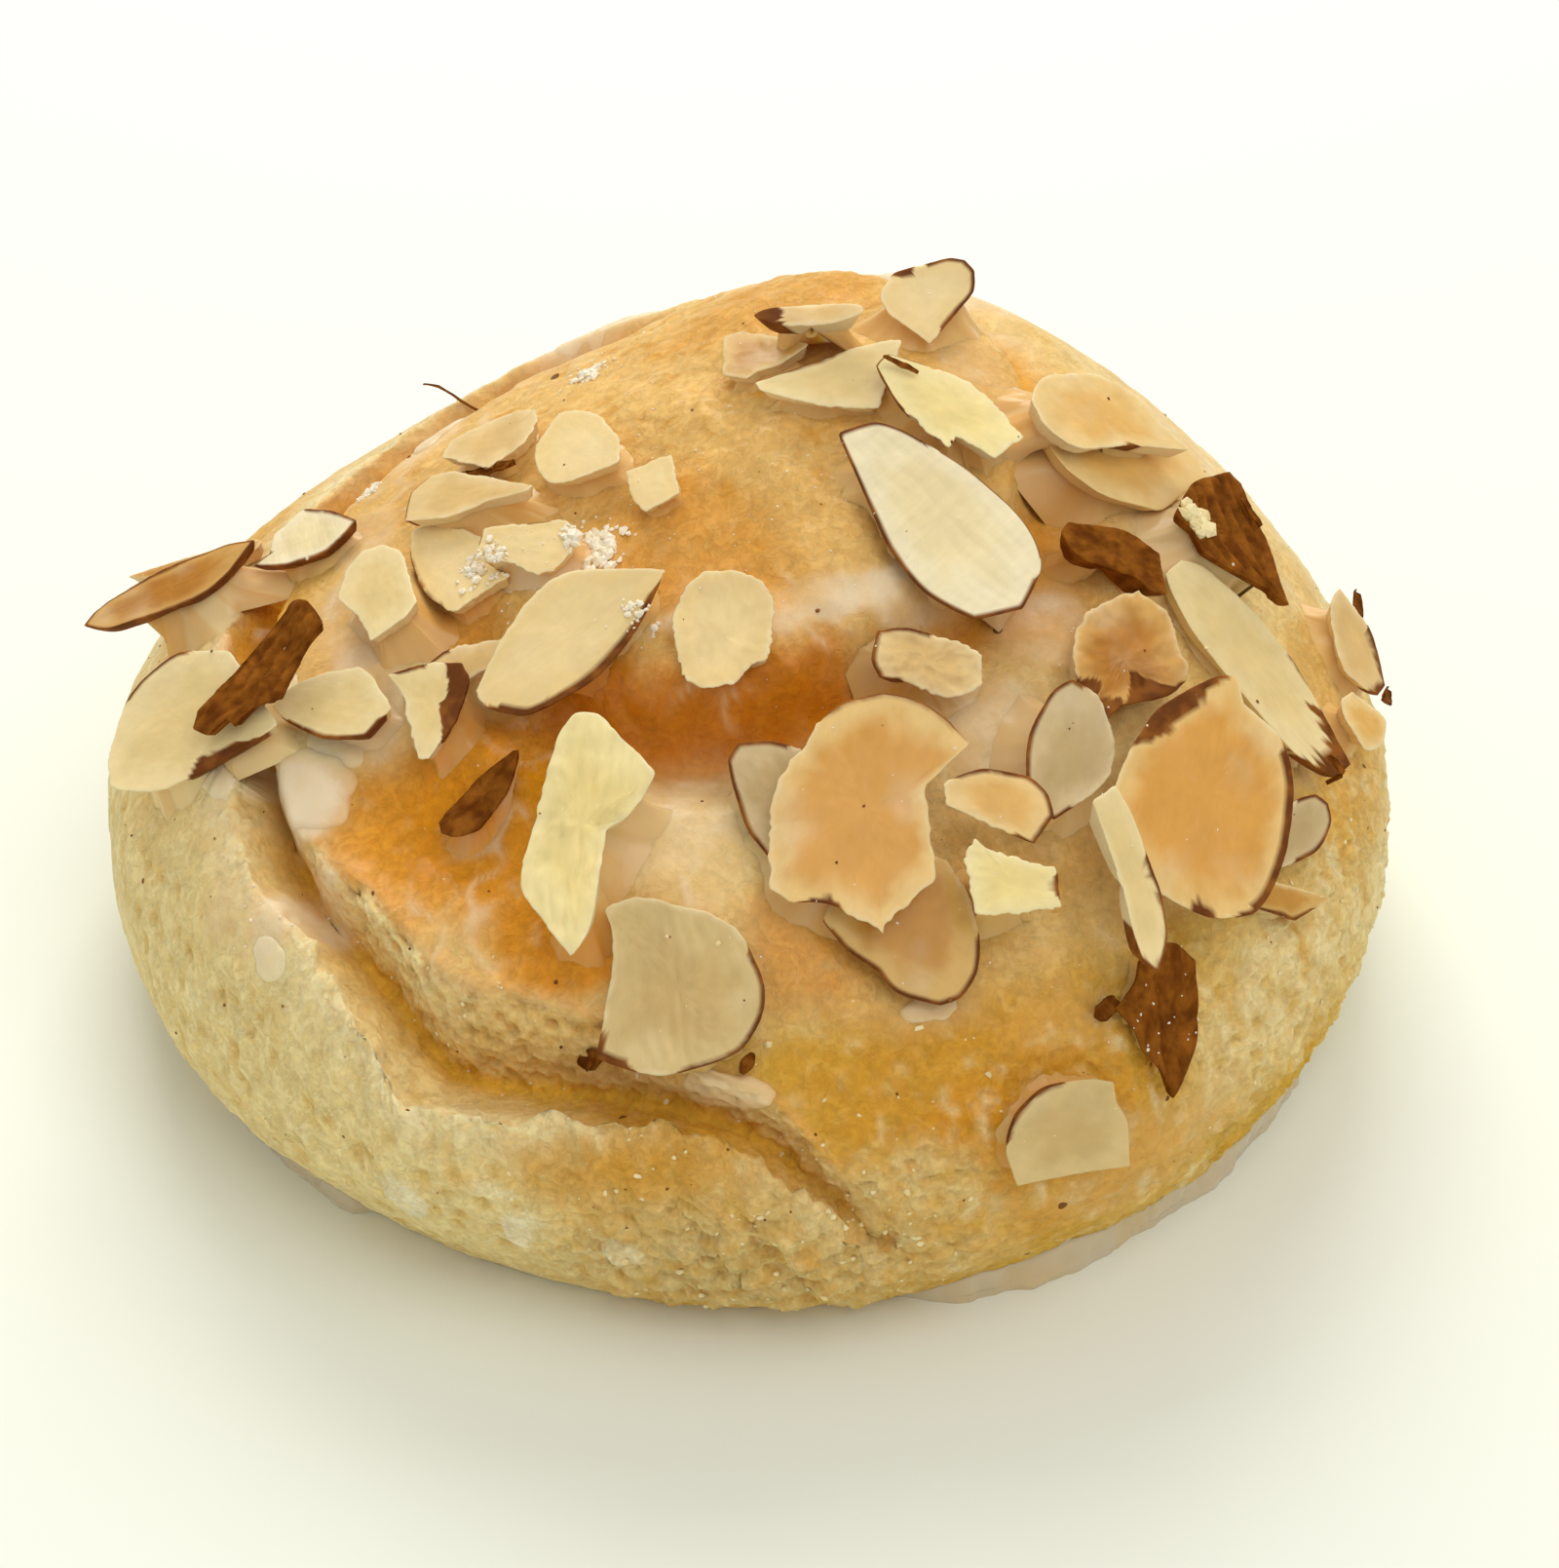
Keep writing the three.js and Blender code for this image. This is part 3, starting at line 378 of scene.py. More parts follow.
@dataclass(frozen=True)
class CrustForm:
    """The dome of the bun, the heart that rises from it, and the seam that winds over it."""

    radius: float = 51.0
    belly_height: float = 12.8
    cap_height: float = 38.5
    foot_tuck: float = 0.1
    foot_drop: float = 120.0
    cap_roundness: float = 0.83
    shoulder_fullness: float = 1.14
    heart_place: tuple[float, float] = (11.0, 11.5)
    heart_rise: float = 17.0
    heart_spread: float = 32.0
    plan_waves: tuple[tuple[int, float, float], ...] = ((2, 0.043, 0.002), (3, -0.009, 0.008))
    outer_flank: float = 2.6
    inner_flank: float = 7.0
    lip_fade: float = 13.0
    crest_fade: float = 9.0
    outer_turn: tuple[float, float] = (0.42, 0.16)
    inner_turn: tuple[float, float] = (0.2, 0.5)
    torn_patch: Swell = Swell(272, 96, 0.9, 16, 13)
    swells: tuple[Swell, ...] = (
        Swell(229, 46, -2.4, 15, 8),
        Swell(264, 49, 1.7, 13, 8),
        Swell(300, 62, 1.0, 22, 9),
        Swell(20, 60, 0.9, 26, 10),
        Swell(95, 66, 1.0, 30, 10),
        Swell(232, 92, 0.8, 20, 12),
    )
    seam: tuple[SeamStop, ...] = (
        SeamStop(284, 95, 0, 4),
        SeamStop(278, 88, 1.8, 7),
        SeamStop(272, 79, 2.8, 9),
        SeamStop(264, 73.5, 3.2, 8),
        SeamStop(256, 73, 3.8, 10.5),
        SeamStop(246, 76, 4.6, 14),
        SeamStop(240, 77, 5, 15),
        SeamStop(234, 70.5, 4.8, 11),
        SeamStop(226, 65, 4.6, 8),
        SeamStop(216, 61, 4.4, 5.5),
        SeamStop(204, 55, 4, 4),
        SeamStop(180, 50, 3.2, 4),
        SeamStop(150, 44, 2.8, 4),
        SeamStop(114, 37, 2.4, 4),
        SeamStop(60, 31, 2, 5),
        SeamStop(0, 30, 2, 5),
        SeamStop(-60, 30, 2.4, 6),
        SeamStop(-80, 32, 3, 6),
        SeamStop(-105, 33.5, 3.4, 6.5),
        SeamStop(-135, 32, 2.8, 6),
        SeamStop(-165, 31, 0, 6),
    )

    def along_seam(self, bearing: Array, key: str) -> Array:
        """One value of the seam on its long way round.

        Args:
            bearing: Bearings from 284 down to -165.
            key: drop, depth or wall.

        Returns:
            The value at each bearing, on a smooth curve through the stops.
        """
        places = np.array([stop.bearing for stop in self.seam], float)
        values = np.array([getattr(stop, key) for stop in self.seam], float)
        last = len(self.seam) - 1
        after = np.clip(np.searchsorted(-places, -bearing), 1, last)
        start = after - 1
        before = np.maximum(after - 2, 0)
        beyond = np.minimum(after + 1, last)
        span = places[after] - places[start]
        share = (bearing - places[start]) / span
        slope_in = (values[after] - values[before]) / (places[after] - places[before]) * span
        slope_out = (values[beyond] - values[start]) / (places[beyond] - places[start]) * span
        return smooth_curve(values[start], slope_in, values[after], slope_out, share)

    def on_seam(self, bearing: Array) -> Array:
        """Whether the seam passes this bearing of its long way round."""
        return (bearing <= self.seam[0].bearing) & (bearing >= self.seam[-1].bearing)

    def past_seam(self, bearing: Array, drop: Array) -> Array:
        """How many degrees a place lies past the seam, downhill."""
        return drop - self.along_seam(bearing, "drop")

    def seam_relief(self, bearing: Array, drop: Array) -> Array:
        """The height that one pass of the seam gives.

        Args:
            bearing: Bearings on the seam's long way round.
            drop: Drops.

        Returns:
            Heights: the groove is below 0, the lip and the crest above.
        """
        depth = np.maximum(self.along_seam(bearing, "depth"), 0)
        wall = self.along_seam(bearing, "wall")
        inward = ease((120 - bearing) / 80)
        flank = blend(self.outer_flank, self.inner_flank, inward)
        lip = depth * blend(self.outer_turn[0], self.inner_turn[0], inward)
        crest = depth * blend(self.outer_turn[1], self.inner_turn[1], inward)
        past = self.past_seam(bearing, drop)
        below = lip * bell((past - flank) / self.lip_fade)
        down = np.where(past < flank, blend(-depth, lip, ease(past / flank)), below)
        beyond = crest * bell((-past - wall) / self.crest_fade)
        up = np.where(-past < wall, blend(-depth, crest, ease(-past / wall)), beyond)
        return np.where(self.on_seam(bearing), np.where(past >= 0, down, up), 0)

    def relief(self, bearing: Array, drop: Array) -> Array:
        """How far the crust stands out from the plain dome."""
        height = self.seam_relief(bearing, drop) + self.seam_relief(bearing - 360, drop)
        for swell in self.swells:
            across = turn_between(swell.bearing, bearing) / swell.across
            height = height + swell.height * bell(across) * bell((drop - swell.drop) / swell.down)
        torn = self.torn_patch
        crags = np.sin(bearing * 0.9 + drop * 0.4) * np.cos(drop * 0.75 - bearing * 0.3)
        across = turn_between(torn.bearing, bearing) / torn.across
        height = height + torn.height * crags * bell(across) * bell((drop - torn.drop) / torn.down)
        height = height + 0.35 * np.sin(np.radians(bearing * 5 + 40)) * np.sin(np.radians(drop * 5))
        return height * ease(drop / 12) * ease((self.foot_drop - drop) / 14)

    def dome(self, bearing: Array, drop: Array) -> Array:
        """Points of the plain dome."""
        bearing, drop = np.broadcast_arrays(np.asarray(bearing, float), np.asarray(drop, float))
        turn, fall = np.radians(bearing), np.radians(drop)
        radius = self.radius * np.ones_like(turn)
        for lobes, cosine, sine in self.plan_waves:
            radius += self.radius * (cosine * np.cos(lobes * turn) + sine * np.sin(lobes * turn))
        sine, cosine = np.sin(fall), np.cos(fall)
        foot = math.radians(self.foot_drop)
        below = drop > 90
        cap_rise = self.cap_height - self.belly_height
        cap = self.belly_height + cap_rise * np.maximum(cosine, 0) ** self.cap_roundness
        tuck = radius * (1 - self.foot_tuck * (1 - sine) / (1 - math.sin(foot)))
        out = np.where(below, tuck, radius * np.abs(sine) ** self.shoulder_fullness)
        height = np.where(below, self.belly_height * (1 - cosine / math.cos(foot)), cap)
        heart = np.where(below, 0, 1 - np.abs(sine) ** 6)
        x, y = out * np.cos(turn), out * np.sin(turn)
        away = ((x - self.heart_place[0]) ** 2 + (y - self.heart_place[1]) ** 2) / self.heart_spread**2
        return np.stack([x, y, height + self.heart_rise * np.exp(-away) * heart], axis=-1)

    def axes(self, bearing: Array, drop: Array) -> tuple[Array, ...]:
        """Places on the dome with the ways downhill, round it and out of it.

        Args:
            bearing: Bearings.
            drop: Drops, above 0.

        Returns:
            The places, and the unit vectors downhill, round and out.
        """
        nudge = 0.05
        here = self.dome(bearing, drop)
        down = unit(self.dome(bearing, np.asarray(drop) + nudge) - here)
        beside = unit(self.dome(np.asarray(bearing) + nudge, drop) - here)
        out = unit(np.cross(down, beside))
        return here, down, unit(np.cross(out, down)), out


# Patches that are laid on the crust


@dataclass(frozen=True)
class Patch:
    """A patch with a ragged edge: where it lies, its half sizes in millimetres and how far it is turned."""

    bearing: float
    drop: float
    across: float
    down: float
    strength: float = 1.0
    turn: float = 0.0
    rag: float = 0.28
    soft: float = 0.55

    def cover(self, form: CrustForm, points: Array) -> Array:
        """How much of the patch there is at each point.

        Args:
            form: The crust.
            points: Points on it.

        Returns:
            Shares from 0 to the patch's strength.
        """
        here, down, beside, _ = form.axes(self.bearing, self.drop)
        away = points - here
        turn = math.radians(self.turn)
        side = away @ (beside * math.cos(turn) + down * math.sin(turn)) / self.across
        fall = away @ (down * math.cos(turn) - beside * math.sin(turn)) / self.down
        far = np.linalg.norm(away, axis=-1) / (4 * max(self.across, self.down))
        reach = np.sqrt(side**2 + fall**2 + far**4)
        size = 0.9 * min(self.across, self.down) + 0.6
        salt = int(self.bearing) + 7
        reach = reach + self.rag * layers(points, size, salt, 3)
        return self.strength * ease((1 + self.soft / 2 - reach) / self.soft)


class CrustZones:
    """What each place of the crust is: outer turn, torn wall, groove, heart, glaze and so on."""

    STROKES = (
        (Tone.GOLD, Patch(265, 79, 12, 3.4, 0.9, soft=0.9)),
        (Tone.BUTTER, Patch(277, 88, 12, 7, 0.7, soft=0.9)),
        (Tone.GOLD, Patch(283, 90, 9, 6, 0.6, soft=0.9)),
        (Tone.GOLD, Patch(268, 85, 9, 5, 0.7, soft=0.9)),
        (Tone.GOLD, Patch(259, 82, 8, 4.5, 0.6, soft=0.9)),
        (Tone.GOLD, Patch(262, 87, 5, 3, 0.6, soft=0.9)),
        (Tone.DEEP_GOLD, Patch(223, 50, 7, 6, 0.8, soft=0.9)),
        (Tone.DEEP_GOLD, Patch(234, 45, 11, 7, 0.95, soft=0.8)),
        (Tone.DEEP_GOLD, Patch(249, 54, 6, 4, 0.9, soft=0.6)),
        (Tone.DEEP_GOLD, Patch(231, 38, 6, 4, 0.85, soft=0.6)),
        (Tone.DEEP_GOLD, Patch(278, 52, 6, 5, 0.7, soft=0.8)),
        (Tone.GOLD, Patch(290, 70, 13, 7, 0.85, soft=0.9)),
        (Tone.GOLD, Patch(296, 86, 14, 8, 0.7, soft=0.9)),
        (Tone.DEEP_GOLD, Patch(293, 78, 8, 4, 0.45, soft=1.0)),
        (Tone.KNOB_DEEP, Patch(240, 15, 9, 6, 0.75, soft=0.9)),
        (Tone.KNOB_DEEP, Patch(340, 32, 9, 6, 0.6, soft=0.9)),
        (Tone.GOLD, Patch(174, 53, 11, 7, 0.95, soft=0.9)),
        (Tone.KNOB, Patch(2, 23, 10, 8, 0.9, soft=0.9)),
        (Tone.GOLD, Patch(156, 64, 9, 7, 0.7, soft=0.9)),
        (Tone.GOLD, Patch(350, 66, 12, 9, 0.55, soft=1.0)),
        (Tone.DEEP_GOLD, Patch(202, 30, 5, 3, 0.5, soft=0.9)),
        (Tone.GOLD, Patch(60, 62, 16, 8, 0.6, soft=1.0)),
        (Tone.DEEP_GOLD, Patch(120, 50, 10, 5, 0.5, soft=1.0)),
        (Tone.KNOB_DEEP, Patch(85, 20, 10, 5, 0.6, soft=0.9)),
        (Tone.GOLD, Patch(20, 80, 12, 6, 0.5, soft=1.0)),
        (Tone.PALE_BAND, Patch(326, 80, 12, 7, 0.6, soft=1.0)),
        (Tone.PALE_BAND, Patch(120, 88, 16, 7, 0.5, soft=1.0)),
    )
    ICING = (
        Patch(260, 40, 6.5, 6.5, 0.65, soft=0.8),
        Patch(264, 22, 5, 1.5, 0.8, soft=0.7),
        Patch(289, 22, 7, 2.0, 0.8, soft=0.8),
        Patch(206, 41, 6, 4, 0.75),
        Patch(188, 38, 6, 4, 0.7),
        Patch(172, 38, 4, 3, 0.7),
        Patch(211, 53, 4, 3.4, 1.0),
        Patch(220, 63, 3.2, 4.6, 0.85, soft=0.9),
        Patch(214, 68, 2.4, 2.6, 0.6, soft=0.9),
        Patch(206, 22, 4, 2.4, 0.8),
        Patch(310, 38, 5, 5, 0.75),
        Patch(314, 25, 5, 3, 0.75),
        Patch(328, 34, 4, 4, 0.7),
        Patch(352, 39, 4, 3, 0.6),
        Patch(306, 90, 10, 5, 0.4, soft=0.8),
        Patch(300, 66, 4, 2.2, 0.3, soft=0.9),
        Patch(288, 61, 4, 2, 0.4, soft=0.9),
        Patch(12, 22, 5, 3, 0.5),
        Patch(60, 36, 9, 3, 0.75),
        Patch(112, 41, 10, 2.6, 0.75),
        Patch(20, 48, 7, 4, 0.6),
        Patch(146, 40, 6, 3, 0.7),
        Patch(84, 54, 5, 7, 0.6),
    )

    def __init__(self, form: CrustForm, points: Array, bearing: Array, drop: Array) -> None:
        """Works out the zones.

        Args:
            form: The crust.
            points: Points on it.
            bearing: Their bearings, 0 to 360.
            drop: Their drops.
        """
        self.form, self.points, self.bearing, self.drop = form, points, bearing, drop
        first, last = form.seam[0].bearing, form.seam[-1].bearing
        outer, inner = np.minimum(bearing, first), np.maximum(bearing - 360, last)
        self.past = form.past_seam(outer, drop)
        self.past_inner = form.past_seam(inner, drop)
        depth = np.maximum(form.along_seam(outer, "depth"), 0) * (bearing <= first)
        inner_depth = np.maximum(form.along_seam(inner, "depth"), 0) * (bearing - 360 >= last)
        wall = form.along_seam(outer, "wall")
        front = ease((bearing - 186) / 24) * ease((284 - bearing) / 10)
        upward = ease((self.past + wall + 0.8 + 1.6 * layers(points, 2.6, 306, 3)) / 0.9)
        wide = ease((wall - 3.5) / 3)
        self.wall = front * upward * ease((0.6 - self.past) / 1.4) * wide
        self.peel = front * wide * bell((self.past + wall + 1.5 + 0.8 * layers(points, 2.6, 312, 3)) / 1.1)
        self.groove = bell((self.past + 0.4) / 1.3) * ease(depth / 3)
        ragged = self.past + 0.9 * layers(points, 2.6, 305, 3)
        rim = np.where(ragged < 3.2, bell((ragged - 3.2) / 1.2), bell((ragged - 3.2) / 3.4))
        self.lip = rim * ease(depth / 3) * ease((bearing - 60) / 90)
        self.front = front
        self.outer = ease((self.past - 1.5) / 3) * front
        pool_side = ease((bearing - 222) / 10) * ease((296 - bearing) / 10)
        self.pool = pool_side * ease((self.past_inner + 9) / 4) * ease((3.5 - self.past_inner) / 4)
        crease = bell(self.past_inner / 2.4) * ease(inner_depth / 2.4)
        crease_back = bell(self.past / 2.2) * ease(depth / 2.4) * (1 - front)
        self.crease = np.maximum(crease, crease_back)
        self.heart = ease((self.heart_edge() - drop) / 3)
        self.torn = Patch(271, 99, 17, 8, 1.0, soft=0.8, rag=0.35).cover(form, points)
        self.torn = np.maximum(self.torn, Patch(284, 84, 6, 4, 0.9, soft=0.7, rag=0.4).cover(form, points))
        covers = [patch.cover(form, points) for patch in self.ICING]
        film = 1 - np.prod([1 - cover for cover in covers], axis=0)
        veins = bell(layers(points, 7.0, 310, 2) / 0.08) * ease(0.1 + 2.2 * layers(points, 12.0, 311, 2))
        film = np.maximum(film, 0.7 * veins * ease((72 - drop) / 14) * ease((drop - 10) / 10))
        self.icing = film * (1 - 0.75 * self.torn)
        self.foot = ease((drop - 104) / 12)
        self.skirt = ease((bearing - 250) / 16) * ease((352 - bearing) / 26) * ease((drop - 56) / 10)
        self.skirt = np.maximum(self.skirt, 0.7 * front * ease((drop - 83) / 9) * ease((bearing - 250) / 14))

    def heart_edge(self) -> Array:
        """The drop of the edge of the raised heart at each bearing."""
        by_inner = self.form.along_seam(np.maximum(self.bearing - 360, -165.0), "drop")
        by_outer = self.form.along_seam(np.minimum(self.bearing, 200.0), "drop")
        return blend(by_outer, by_inner, ease((self.bearing - 190) / 20))


class CrustPaint:
    """Lays the tones of the crust over each other, from the dough up to the icing."""

    def __init__(self, zones: CrustZones) -> None:
        """Keeps the zones that the paint follows."""
        self.zones = zones

    def tint(self) -> Array:
        """The colour of each place.

        Returns:
            Three linear shares for each place.
        """
        zones = self.zones
        points = zones.points
        broad = layers(points, 14.0, 301, 3)
        fine = layers(points, 3.2, 302, 3)
        tint = np.broadcast_to(np.array(Tone.STRAW), points.shape).copy()

        def lay(tone: Colour, share: Array) -> None:
            """Lays a tone over what there is."""
            held = np.clip(share, 0, 1)[..., None]
            tint[...] = tint * (1 - held) + np.array(tone) * held

        tiny = layers(points, 1.5, 304, 2)
        bare = 1 - zones.icing
        upper = ease((86 - zones.drop) / 30)
        lay(Tone.GOLD, (0.3 + 0.5 * broad) * upper * (1 - zones.heart))
        lay(Tone.PALE_BAND, (0.35 - 0.6 * broad) * (1 - upper))
        lay(Tone.KNOB, zones.heart * 0.9)
        lay(Tone.KNOB_DEEP, zones.heart * ease(broad + 0.35 * fine) * 0.7)
        lay(Tone.KNOB_DEEP, zones.heart * ease(1.5 * tiny + 0.9 * fine - 0.3) * 0.55)
        lay(Tone.STRAW, zones.outer * 0.8)
        lay(Tone.BUTTER, zones.skirt * (0.95 + 0.4 * broad + 0.25 * fine))
        for tone, patch in zones.STROKES:
            lay(tone, patch.cover(zones.form, points))
        lay(Tone.GOLD, ease(0.8 * fine + 0.7 * tiny - 0.1) * bare * 0.5)
        pale = ease(-0.8 * fine + 0.8 * tiny - 0.15)
        lay(Tone.PALE_BAND, pale * (0.35 + 0.4 * zones.outer) * (1 - 0.6 * zones.heart))
        lay(Tone.STRAW, ease(1.2 * tiny + 0.6 * fine - 0.35) * 0.6 * zones.skirt)
        streaks = layers(points * np.array([1.0, 1.0, 0.35]), 1.8, 307, 3) * ease((zones.drop - 58) / 12)
        lay(Tone.PALE_BAND, ease(1.6 * streaks - 0.15) * 0.7 * (1 - zones.front))
        lay(Tone.GOLD, ease(-1.8 * streaks - 0.3) * 0.6 * (1 - zones.front))
        lay(Tone.CRUMB, zones.wall)
        lay(Tone.PEEL, zones.peel * (0.42 + 0.6 * fine))
        lay(Tone.GOLD, zones.wall * ease((zones.bearing - 232) / 16) * 0.45)
        # Painted shade: the crumb wall and the torn patch are painted darker in their pore hollows; the wall
        # also gets a little of the deeper crumb tone at random.
        pore_shade = ease((0.6 - pores(points, 1.5, 19)) / 0.4)
        lay(Tone.DEEP_CRUMB_AND_PORE_SHADE, zones.wall * (0.5 * pore_shade + 0.15 * ease(fine)))
        lay(Tone.TORN, zones.torn * 0.85)
        lay(Tone.DEEP_CRUMB_AND_PORE_SHADE, zones.torn * 0.6 * pore_shade)
        pits = ease((0.45 - pores(points, 2.2, 13)) / 0.3)
        lay(Tone.BUTTER, pits * ease((zones.drop - 62) / 14) * 0.5)
        fading = 0.25 + 0.75 * ease((264 - zones.bearing) / 12)
        lay(Tone.PALE_BAND, zones.lip * (0.75 + 0.4 * tiny) * fading)
        lay(Tone.CREVICE, zones.groove)
        lay(Tone.DEEP_GOLD, 0.7 * zones.crease)
        lay(Tone.CARAMEL, zones.pool * ease(1.1 + 0.8 * broad + 0.5 * fine) * 0.95)
        for blister in BunDough.BLISTERS:
            lay(Tone.BLISTER, blister.cover(zones.form, points))
        lay(Tone.ICING_THIN, zones.icing * 0.65)
        lay(Tone.ICING, ease(zones.icing * 1.5 - 0.7 + 0.7 * fine) * 0.6)
        lay(Tone.GOLD, zones.foot * (0.05 + 0.3 * broad))
        return tint

    def gloss(self) -> Array:
        """How glossy each place is, from 0, dry crumb, to 1, wet glaze."""
        zones = self.zones
        broad = layers(zones.points, 9.0, 303, 2)
        glazed = ease((84 - zones.drop) / 26) * (0.5 + 0.25 * broad)
        glazed = np.maximum(glazed, 0.9 * zones.icing)
        glazed = np.maximum(glazed, zones.pool)
        skirt = Patch(292, 76, 15, 10, 0.7, soft=1.0).cover(zones.form, zones.points)
        glazed = np.maximum(glazed, skirt)
        dry = np.maximum(zones.wall, np.maximum(zones.torn, 0.7 * zones.outer))
        return np.clip(glazed * (1 - 0.92 * dry) + 0.12 * zones.lip, 0, 1)


class Ground:
    """A surface that small things lie on."""

    def __init__(self, shells: Sequence[Shell]) -> None:
        """Joins the surfaces."""
        self.joined = Shell.joined(shells)
        self.tree = BVHTree.FromPolygons(self.joined.points.tolist(), self.joined.faces.tolist())

    def nearest(self, places: Array) -> tuple[Array, Array]:
        """The nearest places of the surface.

        Args:
            places: Places in space.

        Returns:
            The nearest places and their tints.
        """
        hits = [self.tree.find_nearest(Vector(place)) for place in places]
        corners = self.joined.faces[[hit[2] for hit in hits], 0]
        return np.array([hit[0][:] for hit in hits]), self.joined.tint[corners]

    def under(self, places: Array, way: Array) -> Array:
        """Where the surface lies on a straight way from each place."""
        hits = [self.tree.ray_cast(Vector(place), Vector(line))[0] for place, line in zip(places, way)]
        return np.array([place if hit is None else hit[:] for hit, place in zip(hits, places)])


@dataclass
class BunDough:
    """The bun itself: one closed mesh with its seam, torn wall, crags, pores and wrinkles."""

    form: CrustForm
    columns: int = 560
    front_share: float = 1.5
    rings_above: int = 92
    rings_wall: int = 26
    rings_flank: int = 9
    rings_below: int = 45
    base_rings: tuple[float, ...] = (0.985, 0.94, 0.8, 0.55, 0.28)
    lip_overhang: float = 1.7
    icing_thickness: float = 0.24

    BLISTERS = (
        Patch(240, 91.5, 1.8, 2.5, 1.0, rag=0.14, soft=0.2),
        Patch(250, 93.5, 1.2, 2.2, 0.9, rag=0.14, soft=0.2),
        Patch(251, 90, 1.1, 1.2, 0.6, rag=0.2, soft=0.3),
        Patch(259, 96, 1.6, 1.5, 0.6, rag=0.16, soft=0.3),
        Patch(248, 86.5, 2.0, 0.7, 0.5, rag=0.2, soft=0.4),
        Patch(75, 92, 1.7, 2.0, 0.8, rag=0.14, soft=0.2),
    )
    RING_STOPS = (26, 30, 31, 50)
    FOLLOWED = (130.0, 270.0)
    LEADS = (110.0, 60.0)

    def bearings(self) -> Array:
        """The bearings of the grid's columns, closer together at the front."""
        even = np.linspace(0, 360, 721)
        density = 1 + (self.front_share - 1) * ease(0.5 - np.sin(np.radians(even)))
        run = np.concatenate([[0], np.cumsum((density[1:] + density[:-1]) / 2)])
        wanted = np.arange(self.columns) / self.columns * run[-1]
        return np.interp(wanted, run, even)

    def drops(self, bearing: Array) -> Array:
        """The drops of the grid's rings, which bend with the seam so that its edges stay crisp.

        Args:
            bearing: The columns' bearings.

        Returns:
            Rings of drops, one for each column.
        """
        even = self.form.foot_drop / self.RING_STOPS[-1]
        along = np.clip(bearing, *self.FOLLOWED)
        before = (self.FOLLOWED[0] - bearing) / self.LEADS[0]
        beyond = (bearing - self.FOLLOWED[1]) / self.LEADS[1]
        loose = ease(np.maximum(before, beyond))
        top, middle, *_ = self.RING_STOPS
        groove = blend(self.form.along_seam(along, "drop"), middle * even, loose)
        wall = blend(self.form.along_seam(along, "wall"), (middle - top) * even, loose)
        foot = 0 * groove + self.form.foot_drop
        stops = [0 * groove, groove - wall, groove, groove + self.form.outer_flank, foot]
        counts = [self.rings_above, self.rings_wall, self.rings_flank, self.rings_below]
        rings = []
        for start, end, count in zip(stops[:-1], stops[1:], counts):
            rings += [blend(start, end, step / count) for step in range(1, count + 1)]
        return np.stack(rings)

    @staticmethod
    def facing(points: Array) -> Array:
        """The outward direction at each point of a grid that closes on itself round the bun."""
        down = np.gradient(points, axis=0)
        wrapped = np.concatenate([points[:, -1:], points, points[:, :1]], axis=1)
        beside = (wrapped[:, 2:] - wrapped[:, :-2]) / 2
        return unit(np.cross(down, beside))

    def fine_relief(self, zones: CrustZones) -> Array:
        """The small relief of the crust, along the way out of it.

        Args:
            zones: What each place of the crust is.

        Returns:
            A height for each place.
        """
        points, bearing, drop = zones.points, zones.bearing, zones.drop
        wall, torn, outer, front, heart = zones.wall, zones.torn, zones.outer, zones.front, zones.heart
        icing, skirt, lip, peel = zones.icing, zones.skirt, zones.lip, zones.peel
        skinned = (1 - wall) * (1 - torn)
        height = 0.3 * layers(points, 8.0, 11, 3) * skinned
        height += 0.1 * layers(points, 2.4, 40, 2) * skinned * (1 - 0.7 * icing)
        streaked = points * np.array([1.0, 1.0, 0.45])
        wrinkle = layers(points * np.array([0.55, 0.55, 1.5]), 2.6, 12, 3)
        height -= 0.34 * np.abs(wrinkle) * outer * skinned
        pits = ease((0.42 - pores(points, 2.2, 13)) / 0.3)
        side = ease((drop - 62) / 14)
        height -= 0.32 * pits * side * skinned * (1 - icing)
        height -= 0.17 * ease((0.45 - pores(streaked, 1.3, 41)) / 0.3) * outer * skinned
        height += 0.2 * self.ledges(points, 3.0, 42, 2.1) * outer * skinned
        flaky = side * ease((bearing - 300) / 16) * ease((372 - bearing) / 20)
        flaky = np.maximum(flaky, 0.7 * side * ease((160 - bearing) / 30))
        flakes = 0.55 * self.ledges(points, 3.4, 14, 1.9) + 0.2 * layers(streaked, 1.6, 43, 2) - 0.15
        height += flaky * flakes
        height -= 0.2 * ease((0.45 - pores(points, 1.3, 44)) / 0.3) * skirt * (1 - front) * skinned
        bubbles = waves(points, 1.5, 15) + 0.6 * waves(points, 0.8, 16)
        height += 0.12 * bubbles * heart * (1 - 0.8 * icing)
        height += torn * (0.9 * self.ledges(points, 4.6, 17, 2.3) + 0.5 * layers(points, 3.0, 18, 3))
        sponge = pores(points, 1.5, 19)
        small_sponge = pores(points * np.array([1.0, 1.0, 0.6]), 0.8, 20)
        porous = np.maximum(wall, 0.55 * torn)
        height -= porous * (0.6 * ease((0.55 - sponge) / 0.4) + 0.34 * ease((0.5 - small_sponge) / 0.4))
        height += 0.35 * wall * layers(points, 3.4, 21, 3) - 0.45 * wall
        height += 0.4 * peel * (0.4 + layers(points, 1.6, 26, 2))
        shreds = layers(points, 2.2, 22, 3)
        height += lip * (0.6 * shreds + 0.35 * np.abs(waves(points, 1.2, 23)))
        wall_top = bell((zones.past + self.form.along_seam(np.minimum(bearing, 284.0), "wall")) / 1.6)
        height += wall_top * front * 0.6 * (shreds + 0.3)
        height += 0.05 * waves(points, 0.7, 24) * (1 - icing)
        for blister in self.BLISTERS:
            height += 0.26 * blister.cover(zones.form, points)
